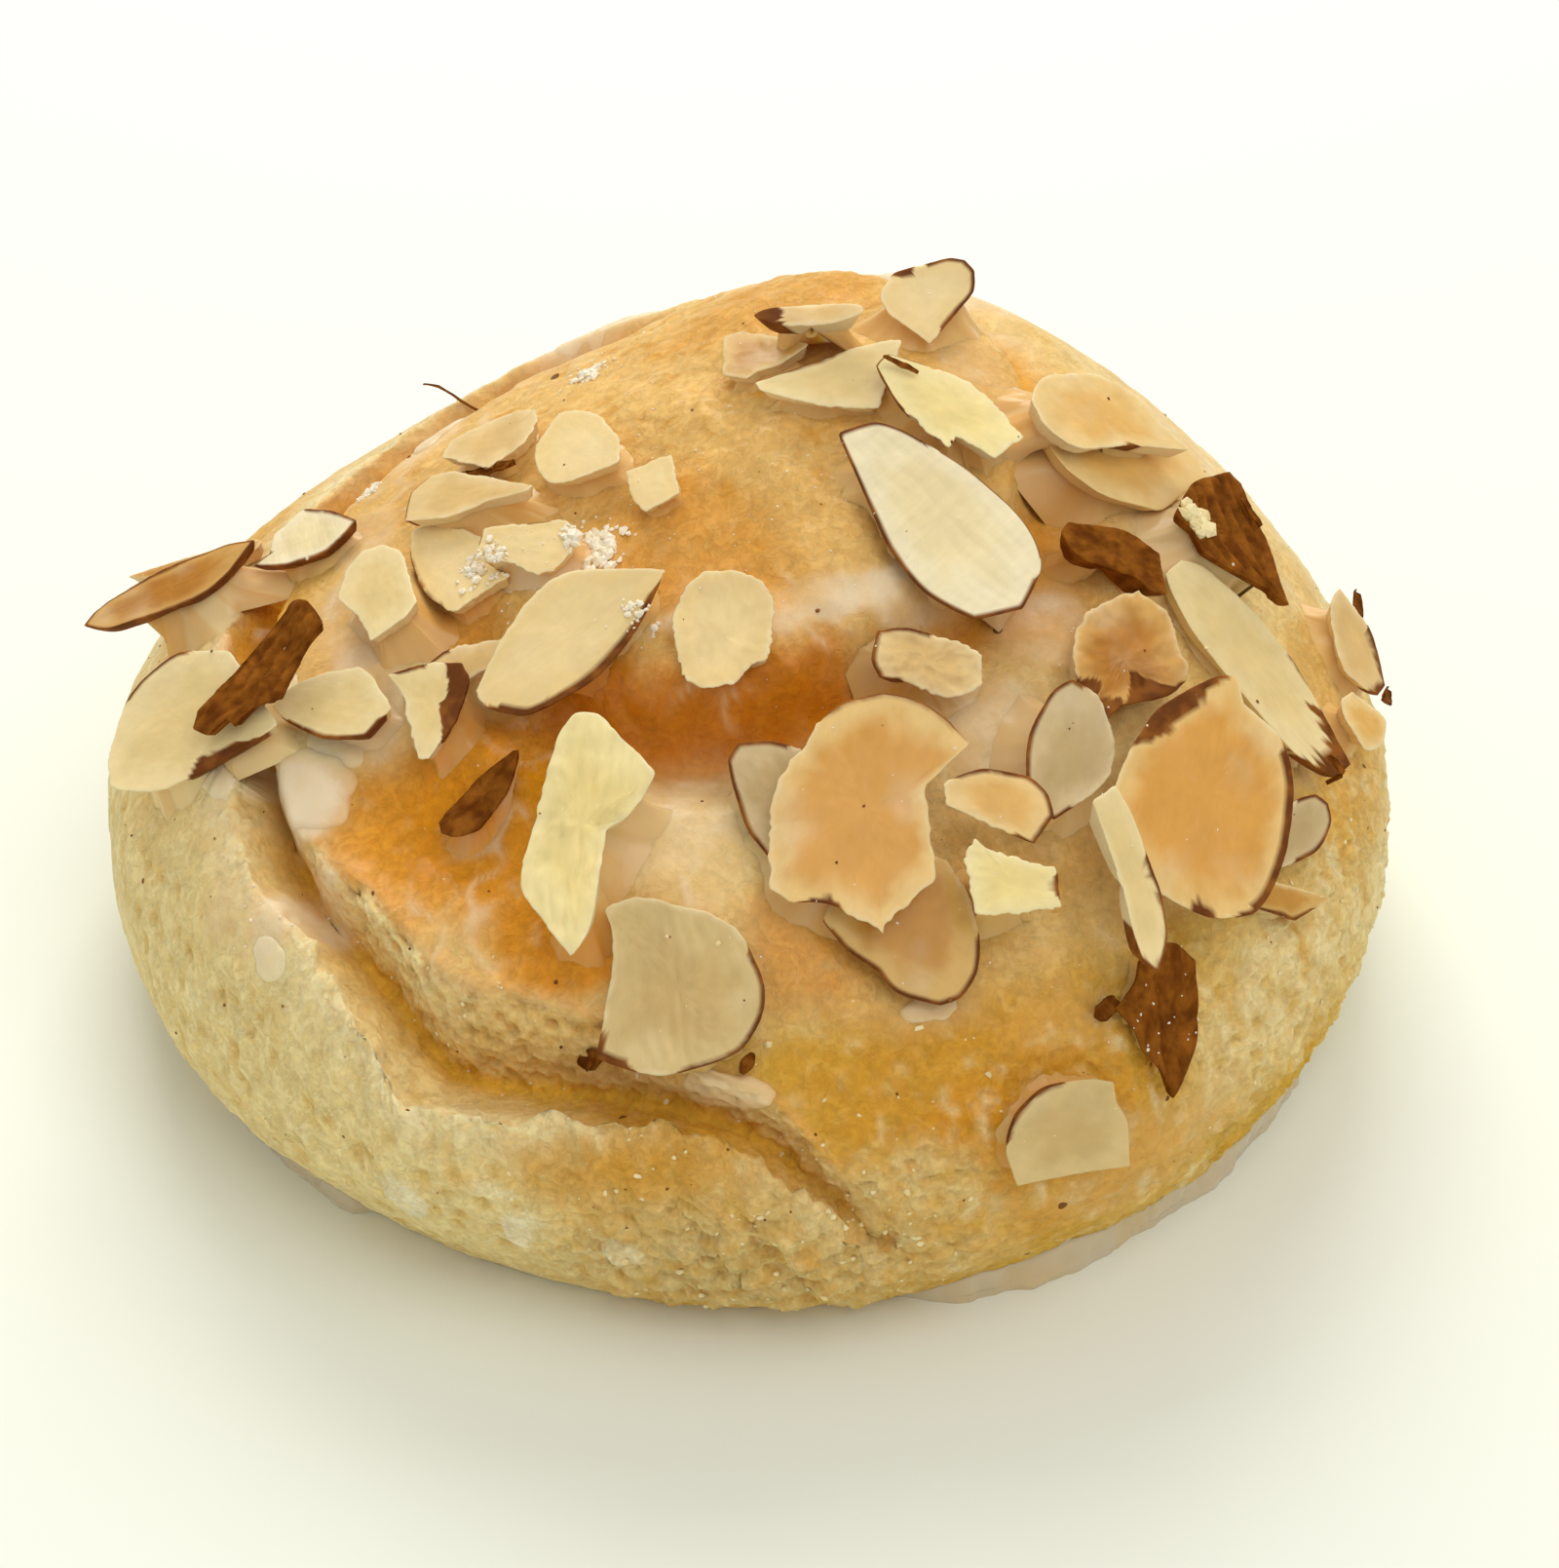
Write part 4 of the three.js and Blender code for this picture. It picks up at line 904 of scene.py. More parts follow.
        smooth_part = 0.3 * layers(points, 8.0, 11, 1) + 0.12 * waves(points, 3.0, 25)
        height = blend(height, smooth_part + self.icing_thickness, 0.85 * icing)
        return height * ease(drop / 3) * ease((self.form.foot_drop - drop) / 3)

    @staticmethod
    def ledges(points: Array, warp: float, salt: int, step: float) -> Array:
        """Flaky ledges: layers of pastry whose torn lower edges stand out.

        Args:
            points: Places on the crust.
            warp: The width of the ledges' bends.
            salt: Which noise bends them.
            step: The height from one ledge to the next.

        Returns:
            Heights from 0, just under an edge, to 1, at the edge.
        """
        level = points[..., 2] / step + 1.5 * layers(points, warp, salt, 3)
        part = 1 - (level - np.floor(level))
        return np.minimum(part**1.5, (1 - part) * 7)

    def make(self, finish: Material) -> tuple[Object, Shell]:
        """Builds the bun.

        Args:
            finish: The crust's finish.

        Returns:
            The bun and its shell.
        """
        columns = self.bearings()
        drop = self.drops(columns)
        bearing = np.broadcast_to(columns, drop.shape)
        here, down, _, out = self.form.axes(bearing, drop)
        points = here + out * self.form.relief(bearing, drop)[..., None]
        zones = CrustZones(self.form, points, bearing, drop)
        curl = self.lip_overhang * zones.lip * (1 + 0.7 * layers(points, 3.0, 31, 2))
        curl *= 0.35 + 0.65 * ease((bearing - 212) / 14)
        points = points - down * curl[..., None]
        facing = self.facing(points)
        points = points + facing * self.fine_relief(zones)[..., None]
        points[..., 2] = np.maximum(points[..., 2], 0.04)
        points[-1, :, 2] = 0
        paint = CrustPaint(zones)
        tint, gloss = paint.tint(), paint.gloss()
        rows, count = drop.shape
        base = [points[-1] * np.array([share, share, 1]) for share in self.base_rings]
        for ring, share in zip(base, self.base_rings):
            ring[:, 2] = 0.25 * (1 - share) + 0.06 * np.abs(waves(ring, 4.0, 32))
        apex = self.form.dome(0, 0)[None]
        hollow = np.array([[0, 0, 0.3]])
        all_points = np.concatenate([apex, points.reshape(-1, 3), np.concatenate(base), hollow])
        under = len(all_points) - 1 - rows * count
        base_tint = np.array(Tone.UNDERSIDE) * (1 + 0.25 * layers(all_points[-under:], 5.0, 33, 3))[:, None]
        crumbs = [zones.wall, 0.9 * zones.torn, 0.25 * zones.outer, 0.6 * zones.lip, 0.35 * zones.skirt]
        marks = {"Gloss": gloss, "Icing": zones.icing, "Crumb": np.maximum.reduce(crumbs)}
        shell = Shell(
            all_points,
            closed_faces(rows + len(base), count),
            np.concatenate([tint[0, :1], tint.reshape(-1, 3), base_tint]),
            {
                name: np.concatenate([values[0, :1], values.ravel(), np.zeros(under)])
                for name, values in marks.items()
            },
        )
        piece = shell.make("bun_crust", finish)
        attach(piece, "root")
        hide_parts("bun")
        return piece, shell


# Finishes


class Bench:
    """Adds and wires the nodes of one shader tree."""

    def __init__(self, tree: bpy.types.NodeTree) -> None:
        """Keeps the tree and empties it."""
        self.tree = tree
        tree.nodes.clear()

    def add(self, kind: str, **settings: object) -> Node:
        """Adds a node of a kind, with settings by their names."""
        node = self.tree.nodes.new(kind)
        for name, value in settings.items():
            setattr(node, name, value)
        return node

    def feed(self, socket: Socket, value: object) -> None:
        """Gives a socket a value, or wires it to another node's output."""
        if isinstance(value, Socket):
            self.tree.links.new(value, socket)
        else:
            socket.default_value = value

    def sum(self, operation: str, *values: object) -> Socket:
        """A sum of values or outputs, by its name, such as MULTIPLY."""
        node = self.add("ShaderNodeMath", operation=operation)
        for socket, value in zip(node.inputs, values):
            self.feed(socket, value)
        return node.outputs[0]

    def spread(self, value: object, low: float, high: float, *ends: object) -> Socket:
        """Brings a range of values smoothly to another range.

        Args:
            value: The value or output.
            low: Where the range starts.
            high: Where it ends.
            ends: The results at its start and end, or 0 and 1.

        Returns:
            The result's output.
        """
        node = self.add("ShaderNodeMapRange", interpolation_type="SMOOTHSTEP")
        for socket, given in zip(node.inputs, (value, low, high, *ends)):
            self.feed(socket, given)
        return node.outputs[0]

    def mix(self, share: object, first: object, second: object, manner: str = "MIX") -> Socket:
        """Mixes two colours.

        Args:
            share: How much of the second there is.
            first: A colour of four shares, or an output.
            second: A colour of four shares, or an output.
            manner: How they are mixed.

        Returns:
            The mixed colour's output.
        """
        node = self.add("ShaderNodeMix", data_type="RGBA", blend_type=manner)
        for name, given in (("Factor_Float", share), ("A_Color", first), ("B_Color", second)):
            self.feed(next(s for s in node.inputs if s.identifier == name), given)
        return next(s for s in node.outputs if s.identifier == "Result_Color")

    def times(self, first: object, second: object) -> Socket:
        """The product of two values."""
        return self.sum("MULTIPLY", first, second)

    def grey(self, value: Socket) -> Socket:
        """A grey of a value."""
        node = self.add("ShaderNodeCombineColor")
        for socket in node.inputs[:3]:
            self.feed(socket, value)
        return node.outputs[0]

    def mark(self, name: str) -> Socket:
        """The value that a mesh carries under a name."""
        return self.add("ShaderNodeAttribute", attribute_name=name).outputs["Fac"]

    def dress(self, node: Node, **inputs: object) -> Node:
        """Gives a node's inputs their values, by their names."""
        for name, value in inputs.items():
            self.feed(node.inputs[name.replace("_", " ")], value)
        return node

    def texture(self, kind: str, place: object, scale: object, **inputs: object) -> Node:
        """Adds a texture of a kind at a place and scale, with its other inputs by their names."""
        return self.dress(self.add(f"ShaderNodeTex{kind}"), Vector=place, Scale=scale, **inputs)

    def group(self, tree: bpy.types.NodeTree, **inputs: object) -> Socket:
        """Places a node group, with its inputs by their names, and gives its output."""
        return self.dress(self.add("ShaderNodeGroup", node_tree=tree), **inputs).outputs[0]


class Effects:
    """The node groups that the finishes share."""

    def __init__(self) -> None:
        """Builds each group once."""
        self.mottle = self.build("Mottle", "Shade", self.fill_mottle, "Depth")
        self.flecks = self.build("Flecks", "Mask", self.fill_flecks, "Share")
        self.flakes = self.build("Flakes", "Cover", self.fill_flakes)
        self.grain = self.build("Grain", "Height", self.fill_grain, "Pores")

    @staticmethod
    def build(name: str, output: str, fill: Callable[..., Socket], *extra: str) -> bpy.types.NodeTree:
        """Builds a node group.

        Args:
            name: Its name.
            output: Its one output's name.
            fill: Adds its nodes, given the bench and the group's inputs, and gives the result.
            extra: The names of its inputs beside Place and Scale.

        Returns:
            The group.
        """
        tree = bpy.data.node_groups.new(name, "ShaderNodeTree")
        tree.interface.new_socket("Place", in_out="INPUT", socket_type="NodeSocketVector")
        for socket in ("Scale", *extra):
            tree.interface.new_socket(socket, in_out="INPUT", socket_type="NodeSocketFloat")
        tree.interface.new_socket(output, in_out="OUTPUT", socket_type="NodeSocketFloat")
        bench = Bench(tree)
        given, result = bench.add("NodeGroupInput"), bench.add("NodeGroupOutput")
        bench.feed(result.inputs[output], fill(bench, *given.outputs[: 2 + len(extra)]))
        return tree

    @staticmethod
    def fill_mottle(bench: Bench, place: Socket, scale: Socket, depth: Socket) -> Socket:
        """Uneven baking: a shade around 1 that strays by the depth."""
        noise = bench.texture("Noise", place, scale, Detail=4.0, Roughness=0.62)
        swing = bench.times(bench.sum("SUBTRACT", noise.outputs["Fac"], 0.5), 4.0)
        return bench.sum("ADD", bench.times(swing, depth), 1.0)

    @staticmethod
    def fill_flecks(bench: Bench, place: Socket, scale: Socket, share: Socket) -> Socket:
        """Sparse round flecks: a share of the cells holds one."""
        cells = bench.texture("Voronoi", place, scale)
        draw = bench.add("ShaderNodeSeparateColor")
        bench.feed(draw.inputs[0], cells.outputs["Color"])
        chosen = bench.sum("LESS_THAN", draw.outputs[0], share)
        size = bench.sum("MULTIPLY_ADD", draw.outputs[1], 0.14, 0.06)
        return bench.times(chosen, bench.sum("LESS_THAN", cells.outputs["Distance"], size))

    @staticmethod
    def fill_flakes(bench: Bench, place: Socket, scale: Socket) -> Socket:
        """Thin flakes of crust with crisp, bent edges: 1 on a flake and 0 beside it."""
        noise = bench.texture("Noise", place, scale, Detail=6.0, Roughness=0.66, Distortion=1.4)
        return bench.spread(noise.outputs["Fac"], 0.46, 0.56)

    @staticmethod
    def fill_grain(bench: Bench, place: Socket, scale: Socket, pores: Socket) -> Socket:
        """The finest relief: grain, and pores as deep as asked."""
        noise = bench.texture("Noise", place, scale, Detail=5.0)
        cells = bench.texture("Voronoi", place, bench.times(scale, 0.8))
        cells.feature = "SMOOTH_F1"
        sponge = bench.times(bench.spread(cells.outputs["Distance"], 0.1, 0.6), bench.times(pores, 2.0))
        return bench.sum("ADD", noise.outputs["Fac"], sponge)


@dataclass(frozen=True)
class Finish:
    """A surface's finish: its tint comes from the mesh, and the rest is set here."""

    name: str
    mottle_scale: float = 420.0
    mottle_depth: float = 0.1
    fine_depth: float = 0.08
    grain_scale: float = 2600.0
    grain_height: float = 0.00016
    bump: float = 0.45
    rough_dry: float = 0.72
    rough_wet: float = 0.3
    fleck_scale: float = 430.0
    fleck_share: float = 0.035
    pale_flecks: float = 0.0
    subsurface: float = 0.25
    reach: float = 0.0016
    coat: float = 0.25
    coat_rough: float = 0.16
    specular: float = 0.22
    stretch: tuple[float, float, float] = (1.0, 1.0, 1.0)
    own_grain: bool = False
    pore_scale: float = 0.0
    flake_scale: float = 0.0
    flake_depth: float = 0.5
    flake_rise: float = 0.5
    flake_tone: Colour = (0.93, 0.84, 0.66)

    def material(self, effects: Effects) -> Material:
        """Makes the material.

        Args:
            effects: The shared node groups.

        Returns:
            The material.
        """
        made = bpy.data.materials.new(self.name)
        made.use_nodes = True
        bench = Bench(made.node_tree)
        times, place = bench.times, self.place(bench)
        gloss, bare = bench.mark("Gloss"), bench.sum("SUBTRACT", 1.0, times(bench.mark("Icing"), 0.8))
        tint = bench.add("ShaderNodeAttribute", attribute_name="Tint").outputs["Color"]
        shade = bench.group(effects.mottle, Place=place, Scale=self.mottle_scale, Depth=self.mottle_depth)
        fine_scale, fine_depth = self.mottle_scale * 4.6, times(bare, self.fine_depth)
        fine = bench.group(effects.mottle, Place=place, Scale=fine_scale, Depth=fine_depth)
        colour = bench.mix(1.0, tint, bench.grey(times(shade, fine)), "MULTIPLY")
        relief: object = 0.0
        if self.flake_scale:
            flakes = bench.group(effects.flakes, Place=place, Scale=self.flake_scale)
            share = times(times(flakes, bare), self.flake_depth)
            colour = bench.mix(share, colour, bench.mix(1.0, colour, (*self.flake_tone, 1), "MULTIPLY"))
            relief = times(flakes, -self.flake_rise)
        crumb: object = 0.0
        if self.pore_scale:
            crumb = bench.mark("Crumb")
            # Painted shade: where the mesh is marked as crumb, it is darkened towards the deeper crumb tone
            # in the hollows of its pores.
            holes = bench.texture("Voronoi", place, self.pore_scale)
            hollow = times(bench.spread(holes.outputs["Distance"], 0.45, 0.1), crumb)
            colour = bench.mix(times(hollow, 0.42), colour, (*Tone.DEEP_CRUMB_AND_PORE_SHADE, 1))
        dark = (self.fleck_scale, self.fleck_share, 0.85, Tone.SPECK)
        pale = (self.fleck_scale * 4, self.pale_flecks, 0.7, Tone.SUGAR)
        for scale, share, strength, tone in (dark, pale):
            if share:
                flecks = bench.group(effects.flecks, Place=place, Scale=scale, Share=share)
                colour = bench.mix(times(flecks, strength), colour, (*tone, 1))
        rough = times(bench.spread(gloss, 0.0, 1.0, self.rough_dry, self.rough_wet), fine)
        grain = bench.group(effects.grain, Place=place, Scale=self.grain_scale, Pores=crumb)
        matt = bench.sum("SUBTRACT", 1.0, times(gloss, 0.55))
        height = times(times(bench.sum("ADD", grain, relief), bare), matt)
        bump = bench.add("ShaderNodeBump")
        bench.dress(bump, Strength=self.bump, Distance=self.grain_height, Height=height)
        shader = bench.add("ShaderNodeBsdfPrincipled", subsurface_method="RANDOM_WALK")
        bench.dress(
            shader,
            Base_Color=colour,
            Roughness=rough,
            Coat_Weight=times(gloss, self.coat),
            Coat_Roughness=self.coat_rough,
            Specular_IOR_Level=self.specular,
            Subsurface_Weight=self.subsurface,
            Subsurface_Radius=(1.0, 0.6, 0.3),
            Subsurface_Scale=self.reach,
            Normal=bump.outputs[0],
        )
        output = bench.add("ShaderNodeOutputMaterial")
        bench.feed(output.inputs["Surface"], shader.outputs[0])
        return made

    def place(self, bench: Bench) -> Socket:
        """Where a point is: on the bun, or in an almond's own stretched axes."""
        if not self.own_grain:
            return bench.add("ShaderNodeTexCoord").outputs["Object"]
        axes = bench.add("ShaderNodeCombineXYZ")
        for socket, name, stretch in zip(axes.inputs, ("Along", "Across", "Through"), self.stretch):
            bench.feed(socket, bench.times(bench.mark(name), stretch * MM))
        return axes.outputs[0]


CRUST_FINISH = Finish(
    "Baked crust", mottle_scale=330, mottle_depth=0.11, fine_depth=0.13, grain_scale=1500,
    grain_height=0.00022, bump=0.65, pale_flecks=0.012, coat=0.26, specular=0.04, subsurface=0.3,
    reach=0.0012, flake_scale=620, flake_rise=0.4, pore_scale=1350,
)
ALMOND_FINISH = Finish(
    "Almond flesh", mottle_scale=300, mottle_depth=0.045, fine_depth=0.04, grain_scale=1500,
    grain_height=0.0001, bump=0.4, rough_dry=0.62, rough_wet=0.22, fleck_scale=1000, fleck_share=0.012,
    pale_flecks=0.02, subsurface=0.18, reach=0.0006, coat=0.26, specular=0.12, stretch=(0.5, 1.0, 1.0),
    own_grain=True,
)
RIBBED_FINISH = replace(
    ALMOND_FINISH, name="Ribbed almond flesh", stretch=(1.0, 0.22, 1.0), grain_scale=900,
    grain_height=0.00022, bump=0.8,
)
SKIN_FINISH = Finish(
    "Almond skin", mottle_scale=500, mottle_depth=0.2, fine_depth=0.14, grain_scale=1500,
    grain_height=0.0004, bump=0.8, rough_dry=0.7, rough_wet=0.45, fleck_share=0.0, pale_flecks=0.02,
    subsurface=0.0, coat=0.0, specular=0.03, stretch=(0.8, 1.0, 1.0), own_grain=True,
)
GLAZE_FINISH = Finish(
    "Set sugar glaze", mottle_scale=260, mottle_depth=0.03, fine_depth=0.03, grain_scale=1800,
    grain_height=0.00006, bump=0.3, rough_dry=0.4, rough_wet=0.2, fleck_share=0.0, subsurface=0.25,
    reach=0.0012, coat=0.3, coat_rough=0.14, specular=0.1,
)
SUGAR_FINISH = Finish(
    "Sugar crumb", mottle_scale=900, mottle_depth=0.04, fine_depth=0.05, grain_height=0.0001,
    rough_dry=0.6, fleck_share=0.0, subsurface=0.1, reach=0.0003, coat=0.1,
)


# Almonds


class Cut(Enum):
    """The faces of almond pieces: the tone at the heart, at the rim, and the gloss."""

    CREAM = (screen(238, 212, 154), screen(234, 206, 144), 0.3)
    WHITE = (screen(236, 218, 168), screen(241, 227, 188), 0.2)
    IVORY = (screen(228, 202, 140), screen(234, 212, 156), 0.4)
    YELLOW = (screen(238, 216, 146), screen(242, 224, 162), 0.25)
    TAN = (screen(222, 186, 122), screen(228, 198, 140), 0.5)
    GLAZED = (screen(226, 178, 98), screen(232, 198, 132), 0.7)
    CARAMEL = (screen(219, 161, 78), screen(231, 194, 124), 0.7)
    AMBER = (screen(188, 126, 48), screen(216, 168, 94), 0.7)
    OAT = (screen(206, 176, 116), screen(216, 190, 132), 0.5)
    GREY = (screen(190, 164, 114), screen(206, 182, 136), 0.6)
    HONEY = (screen(196, 142, 62), screen(212, 172, 98), 0.7)
    SKIN = (Tone.SKIN, Tone.SKIN_LIGHT, 0.2)


@dataclass(frozen=True)
class Rind:
    """Brown skin on a stretch of a rim. Ends are directions as seen from the front, and 90 is away."""

    start: float
    end: float
    width: float = 0.3


@dataclass(frozen=True)
class SliceLook:
    """How one almond piece looks: its cut face, its rind, its broken edge and how uneven its face is."""

    cut: Cut
    rinds: tuple[Rind, ...] = ()
    edge: Crumbling = CHIPPED
    uneven: float = 0.1
    ribs: float = 0.0


ALMOND_LOOKS: dict[str, SliceLook] = {
    "crown_glazed": SliceLook(Cut.HONEY),
    "crown_sliver": SliceLook(Cut.TAN, (Rind(162, 198, 1.9),)),
    "crown_half": SliceLook(Cut.CREAM, (Rind(-75, 95, 0.35), Rind(110, 150, 0.7))),
    "crown_sail": SliceLook(Cut.IVORY, (Rind(55, 178, 0.22),)),
    "crown_notched": SliceLook(Cut.YELLOW, (Rind(110, 185, 0.12),), RAGGED, 0.14),
    "teardrop": SliceLook(Cut.WHITE, (Rind(95, 330, 0.34), Rind(-30, 95, 0.12)), CLEAN, 0.08, 0.05),
    "east_flat_low": SliceLook(Cut.GLAZED, (), CLEAN, 0.1),
    "east_flat_top": SliceLook(Cut.GLAZED, (Rind(-50, -30, 0.5),), CHIPPED, 0.14),
    "east_skin_chunk": SliceLook(Cut.SKIN, (), RAGGED, 0.35),
    "east_long": SliceLook(Cut.IVORY, (Rind(-62, -32, 2.6), Rind(-30, 10, 0.2)), CLEAN),
    "east_shield": SliceLook(Cut.SKIN, (), CHIPPED, 0.2, 0.5),
    "east_chunk": SliceLook(Cut.AMBER, (Rind(196, 272, 2.7), Rind(262, 345, 2.9)), RAGGED, 0.45),
    "grey_slice": SliceLook(Cut.GREY, (Rind(70, 275, 0.28),)),
    "east_edge_mid": SliceLook(Cut.GREY, (Rind(-100, 95, 0.34),)),
    "east_edge_low": SliceLook(Cut.HONEY, (Rind(185, 352, 0.28),)),
    "east_oval": SliceLook(
        Cut.CARAMEL, (Rind(72, 150, 1.7), Rind(-78, 36, 0.75), Rind(256, 278, 0.9)), uneven=0.14
    ),
    "rim_stub": SliceLook(Cut.TAN, (Rind(-80, 50, 0.5),)),
    "rim_low": SliceLook(Cut.GLAZED, (), CHIPPED, 0.2),
    "crest_chunk": SliceLook(Cut.TAN, (Rind(80, 215, 0.24),), RAGGED, 0.42),
    "small_caramel": SliceLook(Cut.GLAZED, (Rind(-70, 150, 0.24),)),
    "drip_slice": SliceLook(Cut.HONEY, (Rind(175, 352, 0.34),)),
    "under_caramel": SliceLook(Cut.GREY, (Rind(75, 275, 0.34),)),
    "big_caramel": SliceLook(Cut.CARAMEL, (Rind(35, 118, 0.2), Rind(232, 256, 0.5)), RAGGED, 0.1),
    "cube": SliceLook(Cut.YELLOW, (Rind(-22, 8, 0.5),), RAGGED, 0.2),
    "edge_sliver": SliceLook(Cut.IVORY, (Rind(-88, 62, 0.45),)),
    "skin_pod": SliceLook(Cut.SKIN, (), CHIPPED, 0.34, 0.36),
    "low_half": SliceLook(Cut.OAT, (Rind(98, 196, 0.2),), CLEAN),
    "front_slab": SliceLook(
        Cut.OAT, (Rind(-62, 34, 0.24), Rind(262, 322, 0.2), Rind(208, 246, 0.8)), uneven=0.2, ribs=0.1
    ),
    "bright_chunk": SliceLook(Cut.YELLOW, (), CHIPPED, 0.45, 0.18),
    "round_flake": SliceLook(Cut.CREAM, (), RAGGED, 0.2),
    "half_moon": SliceLook(Cut.CREAM, (Rind(-140, 34, 0.8),), CHIPPED, 0.1),
    "n_flake": SliceLook(Cut.CREAM),
    "n_square": SliceLook(Cut.CREAM),
    "nw_yellow": SliceLook(Cut.CREAM, (Rind(160, 262, 0.2),), RAGGED),
    "nw_back": SliceLook(Cut.TAN, (), RAGGED),
    "nw_front": SliceLook(Cut.TAN, (Rind(150, 200, 0.14),)),
    "nw_fragment": SliceLook(Cut.CREAM, (Rind(40, 90, 0.12),), RAGGED),
    "west_glazed": SliceLook(Cut.IVORY),
    "west_small": SliceLook(Cut.TAN, (Rind(112, 222, 0.42),), RAGGED),
    "west_skin_low": SliceLook(Cut.SKIN, (), RAGGED, 0.4, 0.16),
    "west_wedge": SliceLook(Cut.IVORY, (Rind(-75, 75, 1.8), Rind(100, 150, 0.3)), RAGGED),
    "west_glazed_half": SliceLook(Cut.IVORY, (Rind(192, 352, 0.28),)),
    "west_half": SliceLook(Cut.WHITE, (Rind(-80, 105, 0.24), Rind(195, 280, 0.26))),
    "west_spike": SliceLook(Cut.AMBER),
    "west_blade": SliceLook(Cut.AMBER, (Rind(0, 360, 0.3),), uneven=0.2),
    "west_big": SliceLook(Cut.IVORY, (Rind(88, 170, 0.3), Rind(-85, -8, 1.3)), uneven=0.12),
    "west_skin": SliceLook(Cut.SKIN, (), RAGGED, 0.6, 0.28),
    "back_oval": SliceLook(Cut.IVORY, (Rind(-60, 120, 0.3),)),
    "back_half": SliceLook(Cut.CREAM, (Rind(20, 170, 0.4),)),
    "back_long": SliceLook(Cut.GLAZED, (Rind(-30, 30, 1.6), Rind(60, 160, 0.25))),
    "back_chunk": SliceLook(Cut.YELLOW, (Rind(-40, 20, 0.4),), RAGGED, 0.25),
    "back_moon": SliceLook(Cut.CREAM, (Rind(-150, 10, 0.6),)),
    "back_skin": SliceLook(Cut.SKIN, (), RAGGED, 0.25, 0.12),
    "back_flake": SliceLook(Cut.TAN, (), RAGGED),
}
VIEW_LEAN = math.radians(40)


@dataclass
class SliceForm:
    """The place, plane, outline and thickness of an almond piece, read from its solid in the frame."""

    hub: Array
    along: Array
    across: Array
    face: Array
    thick: float
    rim: Array
    bend: Array

    @classmethod
    def read(cls, solid: Object) -> "SliceForm":
        """Reads the form of a slab whose two faces each fan out from a hub to an inner ring and a rim.

        Args:
            solid: The piece's object in the frame.

        Returns:
            The form, with its rim as points in its own plane, seen from the hub.
        """
        mesh = solid.data
        places = np.empty(len(mesh.vertices) * 3)
        mesh.vertices.foreach_get("co", places)
        places = places.reshape(-1, 3) / MM
        mesh.calc_loop_triangles()
        corners = np.empty(len(mesh.loop_triangles) * 3, dtype=np.int32)
        mesh.loop_triangles.foreach_get("vertices", corners)
        _, first, shared = np.unique(np.round(places, 3), axis=0, return_index=True, return_inverse=True)
        busy = np.argsort(np.bincount(shared.ravel()[corners]))
        own = places[first]
        low, high = own[busy[-1]], own[busy[-2]]
        if (high - low) @ (low - np.array([0, 0, -20.0])) < 0:
            low, high = high, low
        face = unit(high - low)
        hub = (low + high) / 2
        flat = own - hub
        level = flat @ face
        flat = flat - level[:, None] * face
        reach = np.linalg.norm(flat, axis=1)
        ring = reach > 0.05
        _, _, lines = np.linalg.svd(flat[ring] - flat[ring].mean(axis=0), full_matrices=False)
        along = unit(lines[0] - (lines[0] @ face) * face)
        across = np.cross(face, along)
        plan = np.stack([flat @ along, flat @ across], axis=-1)
        angle = np.degrees(np.arctan2(plan[:, 1], plan[:, 0])) % 360
        order = np.argsort(np.where(ring, angle, 999))[: ring.sum()]
        gaps = (np.roll(angle[order], -1) - angle[order]) % 360
        ends = np.sort(np.argsort(gaps)[-(len(order) // 4) :])
        spokes = np.split(np.roll(order, -ends[-1] - 1), (ends[:-1] - ends[-1]) % len(order))
        rim = np.array([plan[spoke[np.argmax(reach[spoke])]] for spoke in spokes])
        terms = cls.terms(plan)
        side = np.sign(level)
        fitted, *_ = np.linalg.lstsq(terms, level - side * np.linalg.norm(high - low) / 2, rcond=None)
        return cls(hub, along, across, face, float(np.linalg.norm(high - low)), rim, fitted)

    @staticmethod
    def terms(plan: Array) -> Array:
        """The terms of a gently bent surface."""
        x, y = plan[..., 0], plan[..., 1]
        return np.stack([x, y, x * x, x * y, y * y], axis=-1)

    def lift(self, plan: Array) -> Array:
        """How far the middle of the slab lies above its plane."""
        return self.terms(plan) @ self.bend

    def space(self, plan: Array, level: Array) -> Array:
        """Places in space of points in the plane, at levels above it."""
        beside = self.hub + plan[..., :1] * self.along
        return beside + plan[..., 1:] * self.across + level[..., None] * self.face

    def outline(self, count: int) -> Array:
        """The rim as a smooth closed curve that keeps its sharp corners.

        Args:
            count: How many points are wanted, evenly spaced.

        Returns:
            Points in the plane.
        """
        rim = self.rim
        before, after = np.roll(rim, 1, axis=0), np.roll(rim, -1, axis=0)
        turn = np.degrees(np.arccos(np.clip(np.sum(unit(rim - before) * unit(after - rim), axis=1), -1, 1)))
        slope = (after - before) / 2 * (1 - 0.92 * ease((turn - 26) / 20))[:, None]
        share = np.linspace(0, 1, 16, endpoint=False)[:, None, None]
        curve = smooth_curve(rim, slope, after, np.roll(slope, -1, axis=0), share)
        curve = curve.transpose(1, 0, 2).reshape(-1, 2)
        loop = np.concatenate([curve, curve[:1]])
        run = np.concatenate([[0], np.cumsum(np.linalg.norm(np.diff(loop, axis=0), axis=1))])
        wanted = np.arange(count) / count * run[-1]
        return np.stack([np.interp(wanted, run, loop[:, axis]) for axis in (0, 1)], axis=-1)


